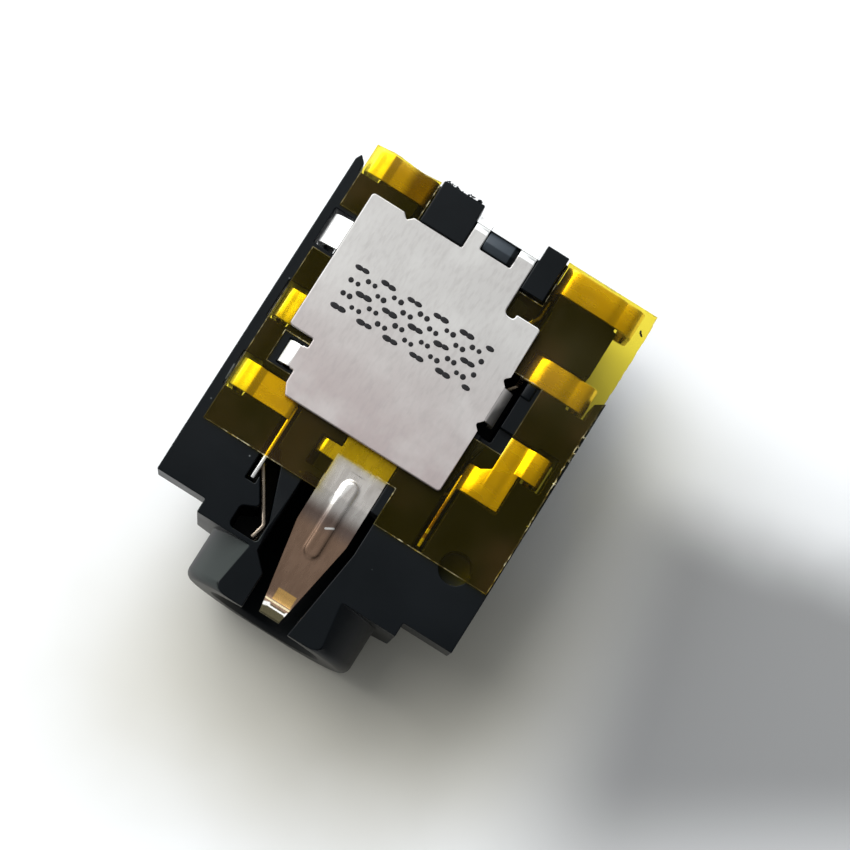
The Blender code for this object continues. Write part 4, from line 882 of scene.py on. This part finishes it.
def film_rim():
    """Upright walls of the sheet as a thin line that stands a hair above it."""
    rim = bpy.data.objects.new("film_rim", film.data.copy())
    bpy.context.scene.collection.objects.link(rim)
    rim.data.materials.clear()
    pick(rim)
    bpy.ops.object.mode_set(mode="EDIT")
    bpy.ops.mesh.select_mode(type="FACE")
    bpy.ops.mesh.select_all(action="DESELECT")
    bpy.ops.object.mode_set(mode="OBJECT")
    for face in rim.data.polygons:
        face.select = abs(face.normal.z) > 0.5
    bpy.ops.object.mode_set(mode="EDIT")
    bpy.ops.mesh.delete(type="FACE")
    bpy.ops.mesh.select_all(action="SELECT")
    bpy.ops.mesh.remove_doubles(threshold=0.0005 * MM)
    bpy.ops.object.mode_set(mode="OBJECT")
    for vertex in rim.data.vertices:
        level = FILM_MIDDLE + film_lift(vertex.co.x, vertex.co.y)
        vertex.co.z += RIM_RISE if vertex.co.z > level else -RIM_RISE
    wall = rim.modifiers.new("Wall", "SOLIDIFY")
    wall.thickness = RIM_WIDTH
    wall.offset = -0.8
    apply_modifiers(rim)
    return rim


rim = film_rim()
dress(rim, edge_finish(), "amber_film")

# %% [markdown]
# ## Ink dots on the plate
#
# A marking jet has left a band of small black dots on the plate. Here they follow a plain twill, as
# in woven cloth, and say nothing. One dot is modelled as a drop: a low disc whose top is drawn in and
# lifted. The copies differ a little in size and place, and in some rows they run together.

# %% Spray the dots
DOT_PITCH = 0.235 * MM
DOT_RADIUS = 0.086 * MM
DOT_HEIGHT = 0.006 * MM
DOT_COLUMNS = 21
DOT_ROWS = 7
BAND_CORNER = Vector((-3.36 * MM, along(9.24 * MM), 0))
PLATE_TOP = film_high.z + 0.21 * MM


def ink_finish(name="marking_ink"):
    finish = Finish(name)
    cloud = finish.noise(scale=6000.0, detail=2.0)
    finish.set(Base_Color=finish.mix(cloud, (0.006, 0.006, 0.007), (0.018, 0.017, 0.018)), Roughness=0.5,
               Specular_IOR_Level=0.2)
    return finish.material


def drop_of_ink():
    """One dot at the origin: a disc with its top drawn in and lifted."""
    bpy.ops.object.select_all(action="DESELECT")
    bpy.ops.mesh.primitive_cylinder_add(vertices=12, radius=1, depth=1, location=(0, 0, 0.5))
    drop = bpy.context.active_object
    bpy.ops.object.transform_apply(location=True, rotation=True, scale=True)
    bpy.ops.object.mode_set(mode="EDIT")
    bpy.ops.mesh.select_mode(type="FACE")
    bpy.ops.mesh.select_all(action="DESELECT")
    bpy.ops.object.mode_set(mode="OBJECT")
    for face in drop.data.polygons:
        face.select = face.normal.z > 0.5
    bpy.ops.object.mode_set(mode="EDIT")
    bpy.ops.mesh.inset(thickness=0.3)
    bpy.ops.transform.translate(value=(0, 0, 0.4))
    bpy.ops.object.mode_set(mode="OBJECT")
    return drop


def joined(pieces, name):
    """One piece from several."""
    pick(pieces[0])
    for piece in pieces:
        piece.select_set(True)
    bpy.ops.object.join()
    whole = bpy.context.active_object
    whole.name = name
    return whole


def twill(column, row):
    """True for two of every four places, moved along by two from row to row."""
    return (column + 2 * row) % 4 < 2


def ink_marks():
    rng = random.Random(11)
    drop = drop_of_ink()
    drops = []
    for column in range(DOT_COLUMNS):
        for row in range(DOT_ROWS):
            if not twill(column, row):
                continue
            place = BAND_CORNER + Vector((column, row, 0)) * DOT_PITCH
            place += Vector((rng.uniform(-1, 1), rng.uniform(-1, 1), 0)) * 0.012 * MM
            place.z = PLATE_TOP
            radius = DOT_RADIUS * rng.uniform(0.88, 1.1)
            long = 1.75 if row % 3 == 0 else 1.0
            mesh = drop.data.copy()
            mesh.transform(Matrix.Translation(place) @ Matrix.Diagonal((radius * long, radius, DOT_HEIGHT, 1)))
            made = bpy.data.objects.new("ink_dot", mesh)
            bpy.context.scene.collection.objects.link(made)
            drops.append(made)
    bpy.data.objects.remove(drop)
    return joined(drops, "ink_dots")


ink = ink_marks()
ink.data.shade_smooth()
dress(ink, ink_finish(), "black_moulding")

# %% [markdown]
# ## Crumbs and burrs
#
# The rear left post was torn from its sprue and is still fuzzy along its rear edge, the film's right
# edge carries a few pale shreds, and one dark chip lies on its overhang. A crumb is a small ball
# pushed out of shape by noise. Each copy gets its own size, turn and place.

# %% Scatter the crumbs
def crumb_mesh(seed):
    """Irregular grain about one unit across."""
    bpy.ops.object.select_all(action="DESELECT")
    bpy.ops.mesh.primitive_ico_sphere_add(subdivisions=2, radius=0.5)
    grain = bpy.context.active_object
    for vertex in grain.data.vertices:
        vertex.co *= 1 + 0.9 * noise.noise(vertex.co * 2.6 + Vector((seed * 7.3, 0, 0)))
    mesh = grain.data
    bpy.data.objects.remove(grain)
    return mesh


def scatter(name, seed, places, size):
    """Grains at the places; size gives the shortest and longest length of a grain."""
    rng = random.Random(seed)
    grains = []
    for index, place in enumerate(places):
        mesh = crumb_mesh(seed + index)
        length = rng.uniform(*size)
        shape = Matrix.Diagonal((length, length * rng.uniform(0.3, 0.7), length * rng.uniform(0.25, 0.5), 1))
        turn = Matrix.Rotation(rng.uniform(0, math.tau), 4, "Z") @ Matrix.Rotation(rng.uniform(-0.5, 0.5), 4, "X")
        mesh.transform(Matrix.Translation(place) @ turn @ shape)
        made = bpy.data.objects.new(name, mesh)
        bpy.context.scene.collection.objects.link(made)
        grains.append(made)
    return joined(grains, name)


POST_TOP = 5.5 * MM
POST_REAR = along(14.35 * MM)
rng = random.Random(5)
post_edge = [Vector((rng.uniform(-2.5, -1.25) * MM, POST_REAR + rng.uniform(-0.07, 0.05) * MM,
                     POST_TOP - rng.uniform(0.02, 0.1) * MM)) for index in range(34)]
post_fuzz = scatter("post_fuzz", 21, post_edge, (0.06 * MM, 0.14 * MM))
post_fuzz.data.shade_smooth()
dress(post_fuzz, black_moulding, "black_moulding")

# %% Scatter the shreds of film
shred_places = [Vector((film_high.x - rng.uniform(0.0, 0.05) * MM, along(rng.uniform(6.2, 10.6) * MM),
                        film_high.z + rng.uniform(0.0, 0.02) * MM)) for index in range(22)]
shreds = scatter("film_shreds", 43, shred_places, (0.04 * MM, 0.13 * MM))
shreds.data.shade_smooth()
dress(shreds, edge_finish("film_shred"), "amber_film")

# %% Drop the chip on the overhang
chip_place = Vector((5.0 * MM, along(13.62 * MM), film_high.z + 0.03 * MM))
chip = scatter("film_chip", 61, [chip_place, chip_place + Vector((0.05, -0.06, 0)) * MM], (0.1 * MM, 0.14 * MM))
dress(chip, black_moulding, "black_moulding")

# %% [markdown]
# ## Floor and light
#
# The photograph is lit by a window behind the socket and to its left, low enough to whiten every
# face that leans its way, and the ceiling over the socket is dim. One soft box stands for the window
# and casts the shadow. A tall narrow one at the left side is what the bends of the contacts mirror.
# The floor is plain and pale, with painted shadow in its colour: a soft grey where something out of
# view would shade it, and a warm grey in front of the nose.

# %% Lay the floor
PICTURE_MIDDLE = (0.88 * MM, 1.19 * MM, 0.0)
GREY_SLOPE = 0.39
GREY_SIDE_LEAN = 0.3
GREY_SIDE = (3.2 * MM, 9.2 * MM)
GREY_SIDE_LEVEL = -3.7 * MM
GREY_FADE = (11 * MM, 15 * MM)
WARM_SHADOW_PLACE = (3.6 * MM, -6.2 * MM, 0.0)
WARM_SHADOW_REACH = (12.0 * MM, 7.2 * MM, 1.0)


def pale_floor():
    bpy.ops.object.select_all(action="DESELECT")
    bpy.ops.mesh.primitive_plane_add(size=900 * MM)
    floor = bpy.context.active_object
    floor.name = "floor"
    paper = Finish("pale_floor")
    uneven = paper.noise(scale=130.0, detail=3.0)
    near = paper.node("ShaderNodeMapping", {"vector_type": "TEXTURE"}, Vector=paper.place,
                      Location=WARM_SHADOW_PLACE, Rotation=(0, 0, CAMERA_ROLL), Scale=WARM_SHADOW_REACH)
    # Painted shadow: a warm grey in front of the nose.
    warm_shadow = 1 - paper.step(paper.vector("LENGTH", near, out=1) + uneven * 0.4, 0.4, 1.5)
    upright = paper.node("ShaderNodeMapping", {"vector_type": "TEXTURE"}, Vector=paper.place,
                         Location=PICTURE_MIDDLE, Rotation=(0, 0, CAMERA_ROLL))
    right = paper.node("ShaderNodeSeparateXYZ", out="X", Vector=upright)
    up = paper.node("ShaderNodeSeparateXYZ", out="Y", Vector=upright)
    # Painted shadow: a soft grey to the right of the socket and below it, where something out of view would shade the
    # floor.
    rim = up + GREY_SLOPE * right + (uneven - 0.5) * 2 * MM
    beside = paper.step(right - GREY_SIDE_LEAN * (up - GREY_SIDE_LEVEL), *GREY_SIDE)
    grey_shadow = (1 - paper.step(rim, -1.4 * MM, 2.0 * MM)) * (1 - 0.62 * paper.step(-1 * up, *GREY_FADE))
    grey_shadow = grey_shadow + (1 - paper.step(rim, 0, 5.5 * MM)) * (1 - grey_shadow) * 0.3
    tone = paper.mix(warm_shadow, (0.93, 0.935, 0.94), (0.61, 0.585, 0.51))
    tone = paper.mix(grey_shadow * beside, tone, (0.28, 0.28, 0.28))
    paper.set(Base_Color=tone, Roughness=0.9, Specular_IOR_Level=0.1)
    floor.data.materials.append(paper.material)
    return floor


floor = pale_floor()
print("floor is", floor.dimensions.x, "m wide")

# %% Hang the lamps
LAMP_AIM = Vector((0, 0, 4)) * MM
LAMP_DISTANCE = 190 * MM


def soft_lamp(name, azimuth, elevation, size, power):
    """Soft box of a width and height that faces the socket; azimuth 0 is along +Y and 90 along +X."""
    turn = math.radians(azimuth)
    rise = math.radians(elevation)
    away = Vector((math.sin(turn) * math.cos(rise), math.cos(turn) * math.cos(rise), math.sin(rise)))
    lamp = bpy.data.objects.new(name, bpy.data.lights.new(name, "AREA"))
    bpy.context.scene.collection.objects.link(lamp)
    lamp.data.shape = "RECTANGLE"
    lamp.data.size = size[0]
    lamp.data.size_y = size[1]
    lamp.data.energy = power
    lamp.location = LAMP_AIM + LAMP_DISTANCE * away
    lamp.rotation_euler = away.to_track_quat("Z", "Y").to_euler()
    return lamp


key = soft_lamp("key_lamp", -40.0, 42.0, (110 * MM, 110 * MM), 0.15)
strip = soft_lamp("strip_lamp", -82.0, 44.0, (90 * MM, 220 * MM), 0.20)
print("lamps:", key.name, strip.name)

# %% Light the room
ROOM_BRIGHT_SIDE = Vector((-0.78, 0.55, 0.16))


def room_light(dim, ceiling, window):
    """Room that is dim on one side, brighter overhead and brightest low on the window's side."""
    world = bpy.data.worlds.new("room")
    world.use_nodes = True
    tree = world.node_tree
    facing = tree.nodes.new("ShaderNodeVectorMath")
    facing.operation = "DOT_PRODUCT"
    facing.inputs[1].default_value = ROOM_BRIGHT_SIDE.normalized()
    direction = tree.nodes.new("ShaderNodeTexCoord")
    tree.links.new(direction.outputs["Generated"], facing.inputs[0])
    total = None
    for start, end, low, high in ((-0.3, 0.6, dim, ceiling), (0.4, 1.0, 0.0, window - ceiling)):
        fade = tree.nodes.new("ShaderNodeMapRange")
        fade.interpolation_type = "SMOOTHSTEP"
        for name, value in (("From Min", start), ("From Max", end), ("To Min", low), ("To Max", high)):
            fade.inputs[name].default_value = value
        tree.links.new(facing.outputs["Value"], fade.inputs["Value"])
        if total is None:
            total = fade.outputs["Result"]
    both = tree.nodes.new("ShaderNodeMath")
    tree.links.new(total, both.inputs[0])
    tree.links.new(fade.outputs["Result"], both.inputs[1])
    background = tree.nodes["Background"]
    background.inputs["Color"].default_value = (0.93, 0.97, 1.0, 1)
    tree.links.new(both.outputs["Value"], background.inputs["Strength"])
    bpy.context.scene.world = world


room_light(dim=0.24, ceiling=0.46, window=3.0)
print("room lit")
